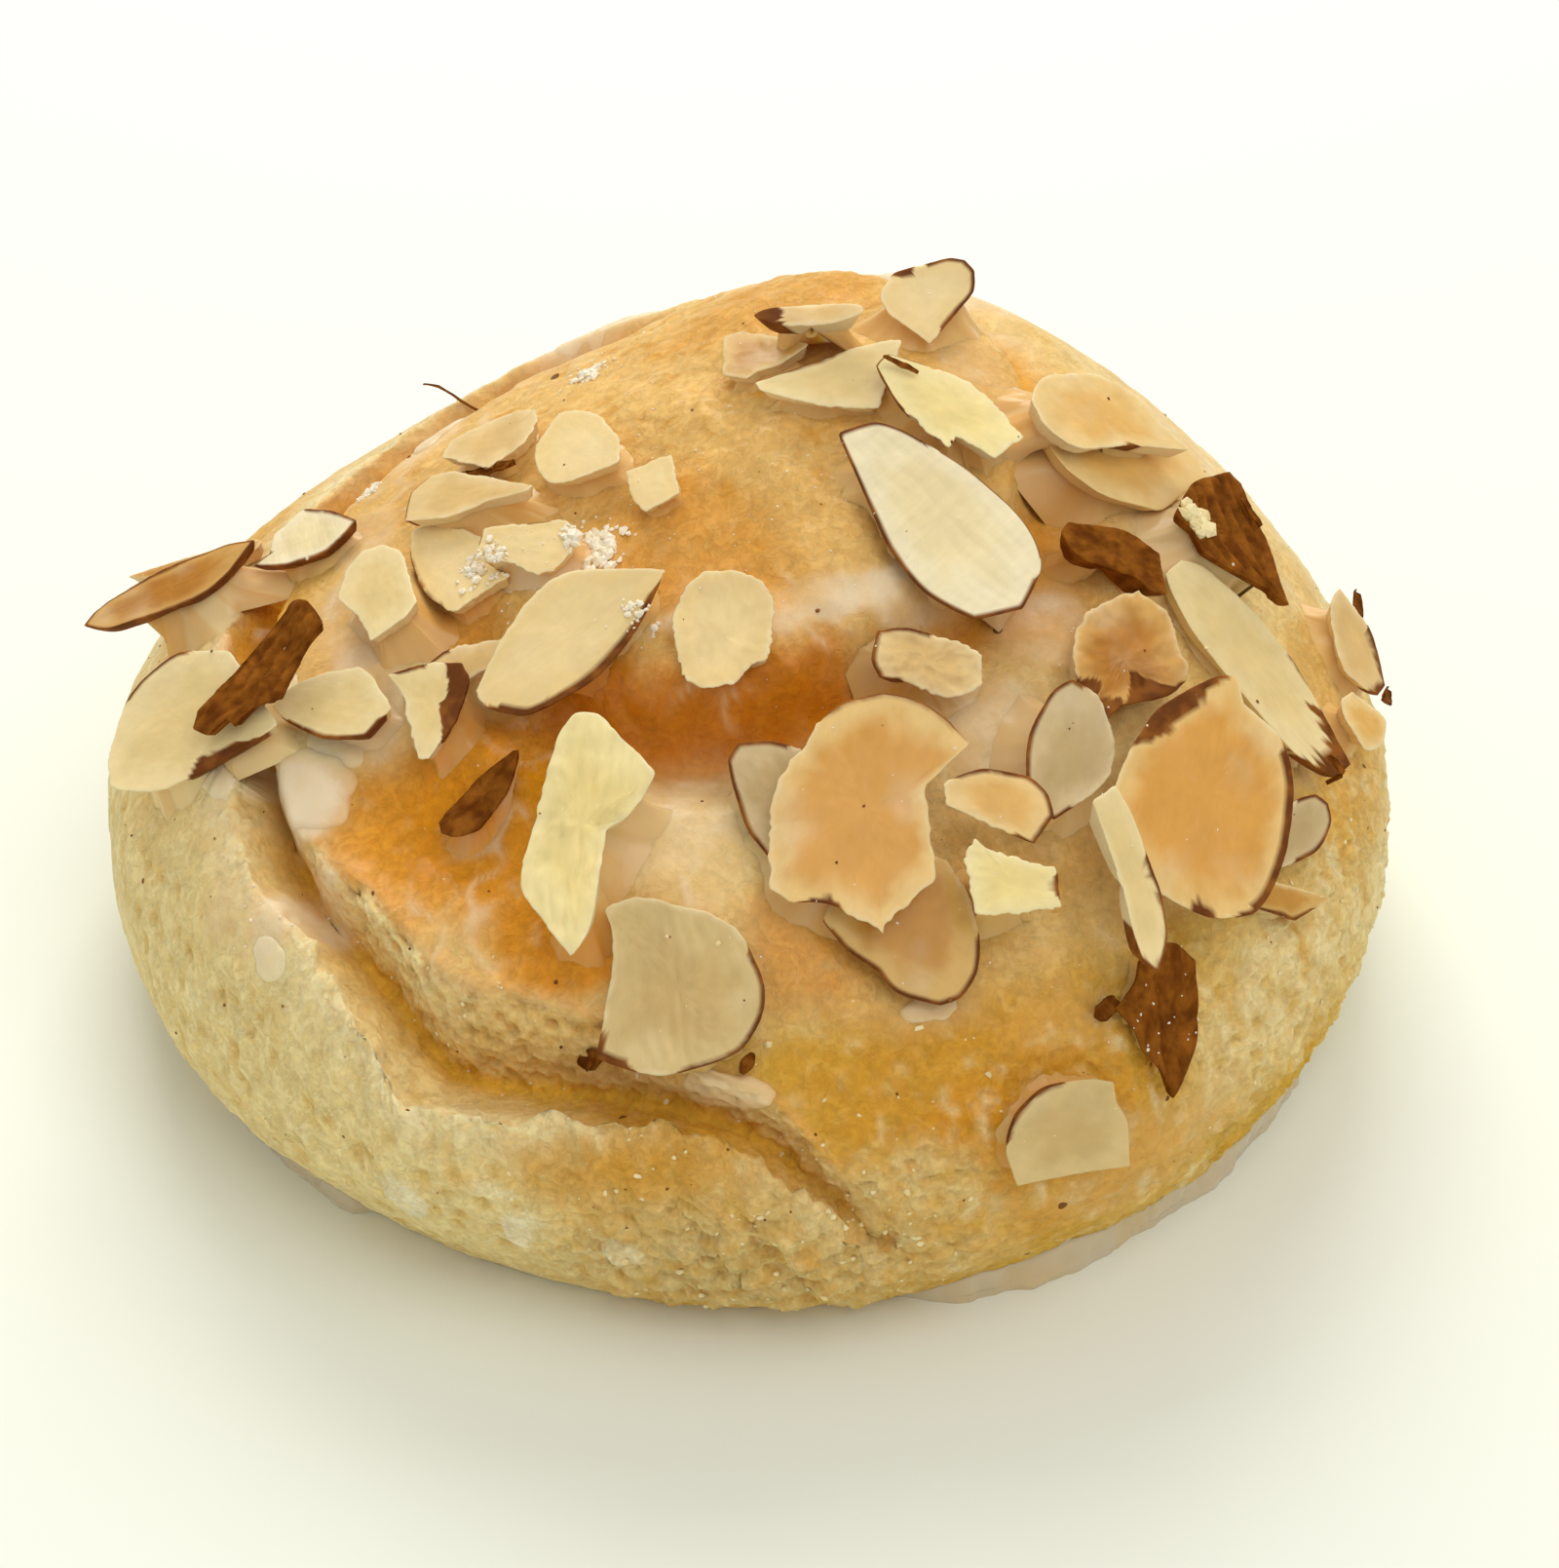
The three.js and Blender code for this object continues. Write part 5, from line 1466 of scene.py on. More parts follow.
@dataclass
class AlmondPiece:
    """One almond piece in detail: crumbling cut faces, a rind of brown skin and a chipped rim."""

    form: SliceForm
    look: SliceLook
    salt: int
    rim_points: int = 128
    insets: tuple[float, ...] = (0.0, 0.07, 0.2, 0.5, 0.95)
    inner: tuple[float, ...] = (0.93, 0.86, 0.79, 0.71, 0.62, 0.53, 0.43, 0.32, 0.21, 0.1)
    under_step: int = 3
    wall_levels: tuple[float, ...] = (0.72, 0.3, -0.3, -0.72)
    rind_bulge: float = 0.1
    taper: float = 1.1

    def shell(self) -> Shell:
        """Builds the piece's mesh.

        Returns:
            Its shell, with its own axes as marks for the grain.
        """
        form = self.form
        rim = form.outline(self.rim_points)
        rim_space = form.space(rim, form.lift(rim))
        rind, width = self.rinds(rim_space)
        reach = np.linalg.norm(rim, axis=1)
        chip = layers(rim_space, 1.6, self.salt, 3) + 0.7 * np.abs(waves(rim_space, 0.7, self.salt + 1))
        chip = chip * self.look.edge.value * (1 - 0.75 * rind) - 0.05 * (1 - rind)
        rim = rim * (1 + chip / reach)[:, None]
        reach = np.linalg.norm(rim, axis=1)
        half = form.thick / 2
        shares = [1 - inset / reach for inset in self.insets]
        shares += [share * shares[-1] for share in self.inner]
        rounding = np.array([0.09, 0.02, 0.0] + [0.0] * (len(shares) - 3)) * min(half, 1.0)
        foot = rim * (1 - self.taper * half / reach)[:, None]
        rows, lower, levels, depth_in = [], [], [], []
        for index, share in enumerate(shares):
            plan = rim * np.asarray(share)[..., None]
            rows.append(plan)
            lower.append(foot * np.asarray(share)[..., None])
            levels.append(half - rounding[index] + self.face_relief(plan, share))
            depth_in.append(reach * (1 - share))
        top = [form.space(plan, form.lift(plan) + level) for plan, level in zip(rows, levels)]
        sparse = [*range(len(self.insets)), *range(len(self.insets), len(shares), self.under_step)]
        lower = [lower[index] for index in sparse]
        under = [form.space(plan, form.lift(plan) - levels[index]) for index, plan in zip(sparse, lower)]
        hub_level = half + self.face_relief(np.zeros((1, 2)), np.zeros(1))
        hub = form.space(np.zeros((1, 2)), hub_level)
        hub_under = form.space(np.zeros((1, 2)), -hub_level)
        wall, wall_plan = self.wall(rim, reach, rind, half)
        bands = top[::-1] + wall + under
        plans = rows[::-1] + wall_plan + lower
        count = self.rim_points
        points = np.concatenate([hub, *bands, hub_under])

        def over_all(rings: list[Array], at_wall: float, at_hub: float) -> Array:
            """One value for each point, from the values on the face's rings."""
            below = [rings[index] for index in sparse]
            walls = np.full(count * len(wall), at_wall)
            return np.concatenate([[at_hub], *rings[::-1], walls, *below, [at_hub]])

        depth = over_all(depth_in, -1.0, 9.0)
        fullness = over_all([np.broadcast_to(share, count) for share in shares], 1.0, 0.0)
        rinds = np.concatenate([[0.0], np.tile(rind, len(bands)), [0.0]])
        widths = np.concatenate([[0.0], np.tile(width, len(bands)), [0.0]])
        plan = np.concatenate([np.zeros((1, 2)), *plans, np.zeros((1, 2))])
        tint, gloss = self.paint(points, depth, fullness, rinds, widths)
        marks = plain_marks(len(points), 0.0) | {
            "Gloss": gloss,
            "Along": plan[:, 0] + self.salt * 3.7,
            "Across": plan[:, 1],
            "Through": (points - form.hub) @ form.face,
        }
        return Shell(points, closed_faces(len(bands), count), tint, marks)

    def rinds(self, rim: Array) -> tuple[Array, Array]:
        """Where the rim has skin, and how wide it is on the face.

        Args:
            rim: The rim's places in space.

        Returns:
            Shares of skin and widths, one for each rim point.
        """
        away = rim - self.form.hub
        rise = away[:, 1] * math.sin(VIEW_LEAN) + away[:, 2] * math.cos(VIEW_LEAN)
        clock = np.degrees(np.arctan2(rise, away[:, 0]))
        stray = 7 * layers(rim, 1.5, self.salt + 2, 2)
        skin, width = np.zeros(len(rim)), np.zeros(len(rim))
        for stretch in self.look.rinds:
            middle, reach = (stretch.start + stretch.end) / 2, (stretch.end - stretch.start) / 2
            left = reach - np.abs(turn_between(middle, clock)) + stray
            inside, wide = ease(left / 5 + 0.5), ease(left / min(5 + 11 * stretch.width, 0.8 * reach))
            if reach >= 179:
                inside = wide = np.ones(len(rim))
            skin = np.maximum(skin, inside)
            width = np.maximum(width, wide * stretch.width)
        if self.look.cut is Cut.SKIN:
            skin = np.ones(len(rim))
        return skin, width

    def face_relief(self, plan: Array, share: Array) -> Array:
        """The relief of the cut face: slight swells, crumbling and ribs along the piece."""
        place = np.concatenate([plan, np.full((len(plan), 1), self.salt * 2.3)], axis=1)
        height = self.look.uneven * (layers(place, 3.0, self.salt + 3, 3) - 0.1)
        height -= 0.3 * self.look.uneven * np.abs(waves(place, 0.9, self.salt + 4))
        if self.look.ribs:
            across = plan[:, 1] + 0.5 * waves(place, 4.0, self.salt + 5)
            reach = 2.4 * np.abs(self.form.rim[:, 0]).max()
            fan = across / np.maximum(0.35, 1 - np.abs(plan[:, 0]) / reach)
            height += self.look.ribs * (np.abs(np.sin(fan * 2.4)) - 0.5) * ease((1 - np.asarray(share)) * 6)
        return height

    def wall(self, rim: Array, reach: Array, rind: Array, half: float) -> tuple[list, list]:
        """The rim's wall, which stands out a little where it has skin.

        Args:
            rim: The rim in the plane.
            reach: How far each of its points is from the hub.
            rind: How much skin each has.
            half: Half the slab's thickness.

        Returns:
            Rows of places in space, and the same rows in the plane.
        """
        rows, plans = [], []
        for row, level in enumerate(self.wall_levels):
            inset = self.taper * half * (1 - level) / 2
            bulge = self.rind_bulge * rind * (1 - level**2) - 0.04 * (1 - rind) - inset
            plan = rim * (1 + bulge / reach)[:, None]
            place = self.form.space(plan, self.form.lift(plan) + level * half)
            rough = waves(place, 0.8, self.salt + 6 + row)
            rough = rough * (0.03 + 0.36 * self.look.edge.value * (1 - rind))
            plan = plan * (1 + rough / reach)[:, None]
            rows.append(self.form.space(plan, self.form.lift(plan) + level * half))
            plans.append(plan)
        return rows, plans

    def paint(
        self, points: Array, depth: Array, fullness: Array, rind: Array, width: Array
    ) -> tuple[Array, Array]:
        """The tint and gloss of the piece.

        Args:
            points: Its points.
            depth: How far in from the rim each is, and below 0 on the wall.
            fullness: The share of the way from the hub to the rim.
            rind: How much skin the nearest rim has.
            width: How wide the skin is there.

        Returns:
            A colour and a gloss for each point.
        """
        heart, edge, shine = self.look.cut.value
        mottle = layers(points, 2.6, self.salt + 11, 3)
        fine = layers(points, 0.9, self.salt + 12, 2)
        start, width_share, stir = (0.64, 0.3, 0.14) if self.look.cut is Cut.CARAMEL else (0.42, 0.5, 0.25)
        share = ease((fullness - start + (stir * mottle + 0.06 * fine)) / width_share)[:, None]
        tint = np.array(heart) * (1 - share) + np.array(edge) * share
        tint = tint * (1 + 0.08 * mottle)[:, None]
        cloud = ease(1.6 * layers(points, 5.0, self.salt + 14, 3) - 0.05)
        tint = blend(tint, Tone.ICING, (0.3 * cloud * shine)[:, None])
        broken = ease((0.5 - depth + 0.35 * fine) / 0.5) * (1 - rind)
        crumbly = np.array(Cut.WHITE.value[1])
        tint = blend(tint, crumbly, (0.4 * broken * (self.look.edge.value > 0.1))[:, None])
        if self.look.cut is Cut.SKIN:
            across = (points - self.form.hub) @ self.form.across
            along = (points - self.form.hub) @ self.form.along
            streak = layers(np.stack([along * 0.6, across, 0 * along], axis=-1), 1.1, self.salt + 13, 3)
            tint = blend(Tone.SKIN, Tone.SKIN_LIGHT, ease(0.5 + 0.8 * streak + 0.5 * fine)[:, None])
            tint = blend(tint, Tone.SKIN_DARK, ease(-0.8 * streak + 0.6 * fine - 0.2)[:, None] * 0.6)
            return tint, np.full(len(points), shine) + 0.1 * fine
        skin = ease((width - depth + 0.25 * width * fine) / 0.12 + 0.5) * (rind > 0.3)
        skin = np.maximum(skin, rind * (depth < 0.0))
        brown = blend(Tone.SKIN, Tone.SKIN_LIGHT, ease(0.35 + mottle + 0.6 * fine)[:, None])
        pale = bell((depth - width - 0.2) / 0.2) * (rind > 0.3) * (depth > 0)
        tint = blend(tint, edge, 0.5 * pale[:, None])
        tint = blend(tint, brown, skin[:, None])
        gloss = blend(shine * (1 + 0.2 * mottle), 0.15, skin)
        return tint, np.clip(gloss * (1 - 0.6 * broken), 0, 1)


class AlmondToppings:
    """All the almond pieces of the danish, each in place of its solid."""

    def __init__(self, nodes: dict[str, Object]) -> None:
        """Reads the form of each piece."""
        self.forms = {name: SliceForm.read(nodes[f"almond_{name}"]) for name in ALMOND_LOOKS}

    def make(self, flesh: Material, ribbed: Material, skin: Material) -> list[Shell]:
        """Builds the pieces.

        Args:
            flesh: The finish of cut almond.
            ribbed: The finish of cut almond with ridges across it.
            skin: The finish of almond skin.

        Returns:
            Their shells.
        """
        shells = []
        for salt, (name, look) in enumerate(ALMOND_LOOKS.items(), start=1):
            shell = AlmondPiece(self.forms[name], look, 400 + salt * 20).shell()
            brown = look.cut is Cut.SKIN
            cut = ribbed if look.cut is Cut.WHITE else flesh
            piece = shell.make(f"almond_slice_{name}", skin if brown else cut)
            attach(piece, "root")
            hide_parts(f"almond_{name}")
            shells.append(shell)
        return shells


# Glaze and icing


@dataclass(frozen=True)
class GlazeBed:
    """The fillet of glaze that holds one almond piece to what it lies on."""

    form: SliceForm
    salt: int
    spokes: int = 72
    steps: int = 7
    blur: int = 8
    furthest: float = 4.2

    def shell(self, crust: Ground) -> Shell:
        """Builds the fillet.

        Args:
            crust: The bun's surface.

        Returns:
            Its shell, open where the piece stands too far off the crust.
        """
        form = self.form
        rim = form.outline(self.spokes)
        reach = np.linalg.norm(rim, axis=1)
        level = form.lift(rim)
        window = np.full(2 * self.blur + 1, 1 / (2 * self.blur + 1))
        rounder = np.convolve(np.pad(reach, self.blur, mode="wrap"), window, mode="valid")
        inset = np.maximum(0.42 * form.thick + np.minimum(1.2, 0.2 * reach), reach - 0.78 * rounder)
        wall = form.space(rim * (1 - inset / reach)[:, None], level - 0.3 * form.thick)
        inner = form.space(rim * (1 - (inset + 0.9) / reach)[:, None], level - 0.36 * form.thick)
        foot, tint = crust.nearest(wall)
        gap = np.linalg.norm(wall - foot, axis=1)
        hold = ease((self.furthest - gap) / 1.2)
        out = unit(foot - np.array([0, 0, -6.0]))
        away = wall - form.hub
        away = unit(away - np.sum(away * out, axis=1)[:, None] * out)
        stray = layers(wall, 3.0, self.salt, 3)
        high = np.maximum(gap - 1.2, 0)
        spread = (0.4 + 0.62 * gap + 0.38 * high) * (1 + 0.6 * stray) * hold + 0.08
        toe, _ = crust.nearest(foot + away * spread[:, None])
        toe = toe - out * 0.07
        ahead, above = (0.3 + 0.07 * high) * spread, 0.05 + 0.2 * gap + 0.14 * high
        bend = foot + away * ahead[:, None] + out * above[:, None]
        rows = [inner]
        for share in np.linspace(0, 1, self.steps):
            curve = wall * (1 - share) ** 2 + bend * 2 * share * (1 - share) + toe * share**2
            swell = 0.05 * math.sin(math.pi * share) * waves(curve, 1.3, self.salt + 1)
            rows.append(curve + out * swell[:, None])
        points = np.concatenate(rows)
        white = ease(0.5 + 0.9 * layers(points, 4.0, self.salt + 2, 3))
        tint = blend(np.tile(tint, (len(rows), 1)), Tone.ICING_THIN, (0.08 + 0.3 * white)[:, None])
        faces = ring_faces(len(rows), self.spokes)
        kept = hold[faces % self.spokes].min(axis=1) > 0.02
        return Shell(points, split_quads(faces[kept]), tint, plain_marks(len(points), 0.9, 1.0))


@dataclass(frozen=True)
class Dollop:
    """A thick white patch of icing: its place, its half sizes, its thickness and its turn."""

    bearing: float
    drop: float
    across: float
    down: float
    thick: float
    turn: float = 0.0
    rag: float = 0.24
    spokes: int = 72
    rings: int = 12

    def shell(self, form: CrustForm, crust: Ground) -> Shell:
        """Builds the patch.

        Args:
            form: The crust's form.
            crust: Its surface.

        Returns:
            Its shell.
        """
        here, down, beside, out = form.axes(self.bearing, self.drop)
        turn = math.radians(self.turn)
        side = beside * math.cos(turn) + down * math.sin(turn)
        fall = down * math.cos(turn) - beside * math.sin(turn)
        angle = np.arange(self.spokes) / self.spokes * 2 * math.pi
        salt = int(self.bearing * 3 + self.drop)
        plan = np.stack([np.cos(angle), -np.sin(angle)], axis=-1)
        edge = plan * np.array([self.across, self.down])
        flat = edge[:, :1] * side + edge[:, 1:] * fall
        stray = layers(flat + here, 0.8 * min(self.across, self.down) + 1.2, salt, 3)
        flat = flat * (1 + 1.6 * self.rag * stray)[:, None]
        shares = np.linspace(0, 1, self.rings + 1)[1:] ** 0.8
        rows = [flat * share for share in shares]
        places = np.concatenate([np.zeros((1, 3)), *rows]) + here
        landed = crust.under(places + out * 9, np.broadcast_to(-out, places.shape))
        fullness = np.concatenate([[0.0], np.repeat(shares, self.spokes)])
        height = self.thick * np.maximum(1 - fullness**2.6, 0) ** 0.55
        height = height * (1 + 0.3 * layers(places, 2.2, salt + 1, 2)) - 0.08 * ease((fullness - 0.9) / 0.1)
        points = landed + out * height[:, None]
        _, under = crust.nearest(points)
        cover = ease(0.35 + height / self.thick + 0.4 * layers(places, 2.0, salt + 2, 2))
        tint = blend(under, Tone.ICING, (0.36 * cover)[:, None])
        rings = split_quads(ring_faces(self.rings, self.spokes) + 1)
        faces = np.concatenate([fan_faces(0, 1, self.spokes), rings])
        return Shell(points, faces, tint, plain_marks(len(points), 0.9, 1.0))


@dataclass(frozen=True)
class IcingFoot:
    """Icing that ran down and set on the tray along a stretch of the foot."""

    start: float
    end: float
    reach: float
    height: float
    salt: int
    columns: int = 130

    SECTION = (
        (0.06, 0.0), (0.0, 0.16), (0.01, 0.34), (0.08, 0.48),
        (0.3, 0.54), (0.52, 0.6), (0.72, 0.74), (0.88, 0.9),
    )

    def shell(self, form: CrustForm, crust: Ground) -> Shell:
        """Builds the foot.

        Args:
            form: The crust's form.
            crust: Its surface.

        Returns:
            Its shell.
        """
        bearing = np.linspace(self.start, self.end, self.columns)
        share = np.linspace(0, 1, self.columns)
        base = form.dome(bearing, form.foot_drop)
        out = unit(base * np.array([1, 1, 0]))
        fade = ease(share / 0.12) * ease((1 - share) / 0.12)
        stray = layers(base, 7.0, self.salt, 4)
        reach = self.reach * fade * (1 + 0.55 * stray) + 0.25 * np.abs(waves(base, 1.4, self.salt + 3)) * fade
        rise = self.height * fade * (1 + 0.5 * layers(base, 9.0, self.salt + 1, 3))
        top = base + out * 8
        top[:, 2] = np.maximum(rise, 0.1)
        top = crust.under(top, -out) + out * 0.06
        toe = base + out * reach[:, None]
        rows = []
        for inward, upward in self.SECTION:
            row = toe + (top - toe) * inward
            low, high = np.minimum(1.7, 0.53 * rise) * upward, top[:, 2] * (upward - 0.35) / 0.65
            row[:, 2] = low if upward < 0.55 else high
            row = row + out * (0.12 * waves(row, 1.8, self.salt + 2))[:, None] * (upward > 0)
            row[:, 2] = np.maximum(row[:, 2], 0.0)
            rows.append(row)
        rows.append(top)
        rows.append(top - out * 0.8)
        points = np.concatenate(rows[::-1])
        _, under = crust.nearest(points)
        cloud = layers(points, 5.0, self.salt + 4, 3)
        # Painted shade: the foot's icing takes the darker icing tone, standing for the bun's shadow over it.
        tint = blend(under, Tone.SHADED_ICING, np.clip(0.84 + 0.3 * cloud, 0, 0.95)[:, None])
        faces = split_quads(ring_faces(len(rows), self.columns, closed=False))
        return Shell(points, faces, tint, plain_marks(len(points), 0.8, 1.0))


class SugarGlaze:
    """The glaze that isn't the crust's own film: beds of the almonds, thick patches, drips and the foot."""

    DOLLOPS = (
        Dollop(211, 51, 3.6, 3.8, 0.4),
        Dollop(207, 45, 3.0, 2.6, 0.3),
        Dollop(202, 57, 2.6, 2.4, 0.25),
        Dollop(222, 69, 1.8, 1.5, 0.3),
        Dollop(268, 68.5, 3.0, 1.6, 0.5),
        Dollop(288, 60.5, 2.2, 1.1, 0.3),
        Dollop(206, 21, 2.6, 1.4, 0.3),
        Dollop(112, 41, 5.0, 1.6, 0.35),
        Dollop(60, 36, 4.0, 1.6, 0.35, 12),
        Dollop(84, 55, 2.2, 3.6, 0.4),
        Dollop(146, 40, 3.0, 1.6, 0.35),
    )
    FEET = (
        IcingFoot(284, 344, 2.1, 3.2, 81),
        IcingFoot(208, 230, 1.3, 1.6, 82),
        IcingFoot(66, 104, 2.2, 2.8, 83),
    )

    def make(
        self, form: CrustForm, crust: Ground, slices: dict[str, SliceForm], finish: Material
    ) -> list[Object]:
        """Builds the glaze.

        Args:
            form: The crust's form.
            crust: Its surface.
            slices: The forms of the almond pieces.
            finish: The glaze's finish.

        Returns:
            The pieces.
        """
        beds = [GlazeBed(slab, 900 + 5 * count).shell(crust) for count, slab in enumerate(slices.values())]
        dollops = [dollop.shell(form, crust) for dollop in self.DOLLOPS]
        feet = [foot.shell(form, crust) for foot in self.FEET]
        pieces = []
        for name, shells in (("glaze_beds", beds), ("icing_patches", dollops), ("icing_foot", feet)):
            piece = Shell.joined(shells).make(name, finish)
            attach(piece, "root")
            pieces.append(piece)
        return pieces


# Small things


@dataclass(frozen=True)
class SkinScrap:
    """A thin strip of almond skin: its place, length, width, heading, bend and how its ends lift off."""

    bearing: float
    drop: float
    length: float
    width: float
    heading: float
    bend: float = 0.0
    lift: float = 0.2
    cock: float = 0.0
    stations: int = 22

    RING = (
        (-1, 0.5), (-0.55, 0.16), (0, 0.06), (0.55, 0.16),
        (1, 0.5), (0.5, -0.02), (0, -0.16), (-0.5, -0.02),
    )

    def shell(self, form: CrustForm, ground: Ground) -> Shell:
        """Builds the strip.

        Args:
            form: The crust's form.
            ground: What it lies on.

        Returns:
            Its shell. The heading turns from round the bun towards uphill.
        """
        here, down, beside, out = form.axes(self.bearing, self.drop)
        salt = int(self.bearing * 5 + self.drop * 3)
        share = np.linspace(0, 1, self.stations)
        turn = np.radians(self.heading + self.bend * (share - 0.5))
        step = np.cos(turn)[:, None] * beside - np.sin(turn)[:, None] * down
        line = np.cumsum(step, axis=0) * self.length / self.stations
        line = line - line.mean(axis=0) + here
        landed = ground.under(line + out * 14, np.broadcast_to(-out, line.shape))
        height = (landed - here) @ out
        level = np.convolve(np.pad(height, 4, mode="edge"), np.full(9, 1 / 9), mode="valid")
        rise = np.maximum(level, height) + self.lift + self.cock * share**2 + 0.15 * waves(line, 1.5, salt)
        line = line - ((line - here) @ out)[:, None] * out + rise[:, None] * out
        ahead = unit(np.gradient(line, axis=0))
        side = unit(np.cross(ahead, out))
        up = np.cross(side, ahead)
        width = self.width / 2 * np.sin(np.pi * np.clip(share * 0.92 + 0.04, 0, 1)) ** 0.45
        width = width * (1 + 0.35 * layers(line, 1.4, salt + 1, 3))
        thick = min(self.width, 1.4)
        rows = [
            line + side * (across * width)[:, None] + up * (0.5 * level * thick)
            for across, level in self.RING
        ]
        grid = np.stack(rows, axis=1)
        grid = grid + out * (0.06 * waves(grid, 0.6, salt + 2))[..., None]
        count = len(self.RING)
        start, end = grid[0].mean(axis=0)[None], grid[-1].mean(axis=0)[None]
        points = np.concatenate([start, grid.reshape(-1, 3), end])
        streak = layers(points, 0.9, salt + 3, 3)
        tint = blend(Tone.SKIN, Tone.SKIN_LIGHT, ease(0.4 + 1.2 * streak)[:, None])
        marks = plain_marks(len(points), 0.15) | {
            "Along": (points - here) @ step[0] + salt,
            "Across": (points - here) @ np.cross(out, step[0]),
            "Through": (points - here) @ out,
        }
        return Shell(points, closed_faces(self.stations, count, flipped=True), tint, marks)


@dataclass(frozen=True)
class Cluster:
    """Where grains lie: a place, how far round it, how many and their sizes."""

    bearing: float
    drop: float
    spread: float
    count: int
    small: float = 0.12
    large: float = 0.3


class Grains:
    """Scattered small things of one kind, joined into one piece."""

    def __init__(self, seed: int) -> None:
        """Starts the draws from a seed."""
        self.draws = np.random.default_rng(seed)
        gold = (1 + math.sqrt(5)) / 2
        rim = [(0, a, b * gold) for a in (-1, 1) for b in (-1, 1)]
        turned = [(a, b, c) for c, a, b in rim] + [(b, c, a) for c, a, b in rim]
        self.corners = unit(np.array(rim + turned, float))
        self.faces = self.hull()

    def hull(self) -> Array:
        """The twenty faces between the corners, each turned outwards."""
        count = len(self.corners)
        faces = []
        for a in range(count):
            for b in range(a + 1, count):
                for c in range(b + 1, count):
                    trio = self.corners[[a, b, c]]
                    sides = np.linalg.norm(trio - np.roll(trio, 1, axis=0), axis=1)
                    if sides.max() < 1.2:
                        turned = np.cross(trio[1] - trio[0], trio[2] - trio[0]) @ trio.mean(axis=0) > 0
                        faces.append((a, b, c) if turned else (a, c, b))
        return np.array(faces)

    def spots(self, form: CrustForm, clusters: Sequence[Cluster]) -> tuple[Array, Array, Array]:
        """Draws where the grains are.

        Args:
            form: The crust's form.
            clusters: Where they gather.

        Returns:
            Places above the crust, the ways out of it and sizes.
        """
        places, ways, sizes = [], [], []
        for cluster in clusters:
            here, down, beside, out = form.axes(cluster.bearing, cluster.drop)
            reach = self.draws.normal(0, cluster.spread, (cluster.count, 2))
            places.append(here + reach[:, :1] * beside + reach[:, 1:] * down + 14 * out)
            ways.append(np.broadcast_to(out, (cluster.count, 3)))
            spare = cluster.large - cluster.small
            sizes.append(cluster.small + spare * self.draws.random(cluster.count) ** 2)
        return np.concatenate(places), np.concatenate(ways), np.concatenate(sizes)

    def everywhere(self, form: CrustForm, count: int, low: float, high: float, small: float, large: float):
        """Draws grains all over the crust.

        Args:
            form: The crust's form.
            count: How many there are.
            low: The drop where they start.
            high: The drop where they end.
            small: The smallest size.
            large: The largest.

        Returns:
            Places above the crust, the ways out of it and sizes.
        """
        top, foot = math.cos(math.radians(low)), math.cos(math.radians(high))
        drop = np.degrees(np.arccos(blend(top, foot, self.draws.random(count))))
        here, _, _, out = form.axes(self.draws.random(count) * 360, drop)
        return here + 14 * out, out, small + (large - small) * self.draws.random(count) ** 2

    def shell(
        self, ground: Ground, spots: tuple[Array, Array, Array], tones: tuple[Colour, Colour], flat: float
    ) -> Shell:
        """Builds the grains.

        Args:
            ground: What they lie on.
            spots: Places, ways out and sizes.
            tones: The two tones that they lie between.
            flat: How flat they are, where 1 is round.

        Returns:
            Their shell.
        """
        places, ways, sizes = spots
        landed = ground.under(places, -ways)
        kept = (np.linalg.norm(landed - places, axis=1) > 0.01) & (landed[:, 2] > 1.0)
        landed, ways, sizes = landed[kept], ways[kept], sizes[kept]
        count = len(landed)
        side = unit(np.cross(ways, self.draws.normal(size=(count, 3))))
        fore = np.cross(ways, side)
        uneven = self.draws.uniform(0.65, 1.25, (count, len(self.corners), 1))
        stretch = self.draws.uniform(0.7, 1.3, (count, 1, 3)) * np.array([1, 1, flat])
        lean = unit(self.draws.normal(size=(count, 3)))
        local = self.corners * uneven * stretch
        local = local + 0.3 * np.cross(lean[:, None, :], local) * flat
        own = (
            local[..., :1] * side[:, None] + local[..., 1:2] * fore[:, None] + local[..., 2:] * ways[:, None]
        ) * sizes[:, None, None]
        points = landed[:, None] + own + ways[:, None] * (0.35 * flat * sizes)[:, None, None]
        faces = (self.faces + (np.arange(count) * len(self.corners))[:, None, None]).reshape(-1, 3)
        share = self.draws.random((count, 1, 1))
        tint = blend(*tones, share) * np.ones((1, len(self.corners), 1))
        points = points.reshape(-1, 3)
        return Shell(points, faces, tint.reshape(-1, 3), plain_marks(len(points), 0.3))


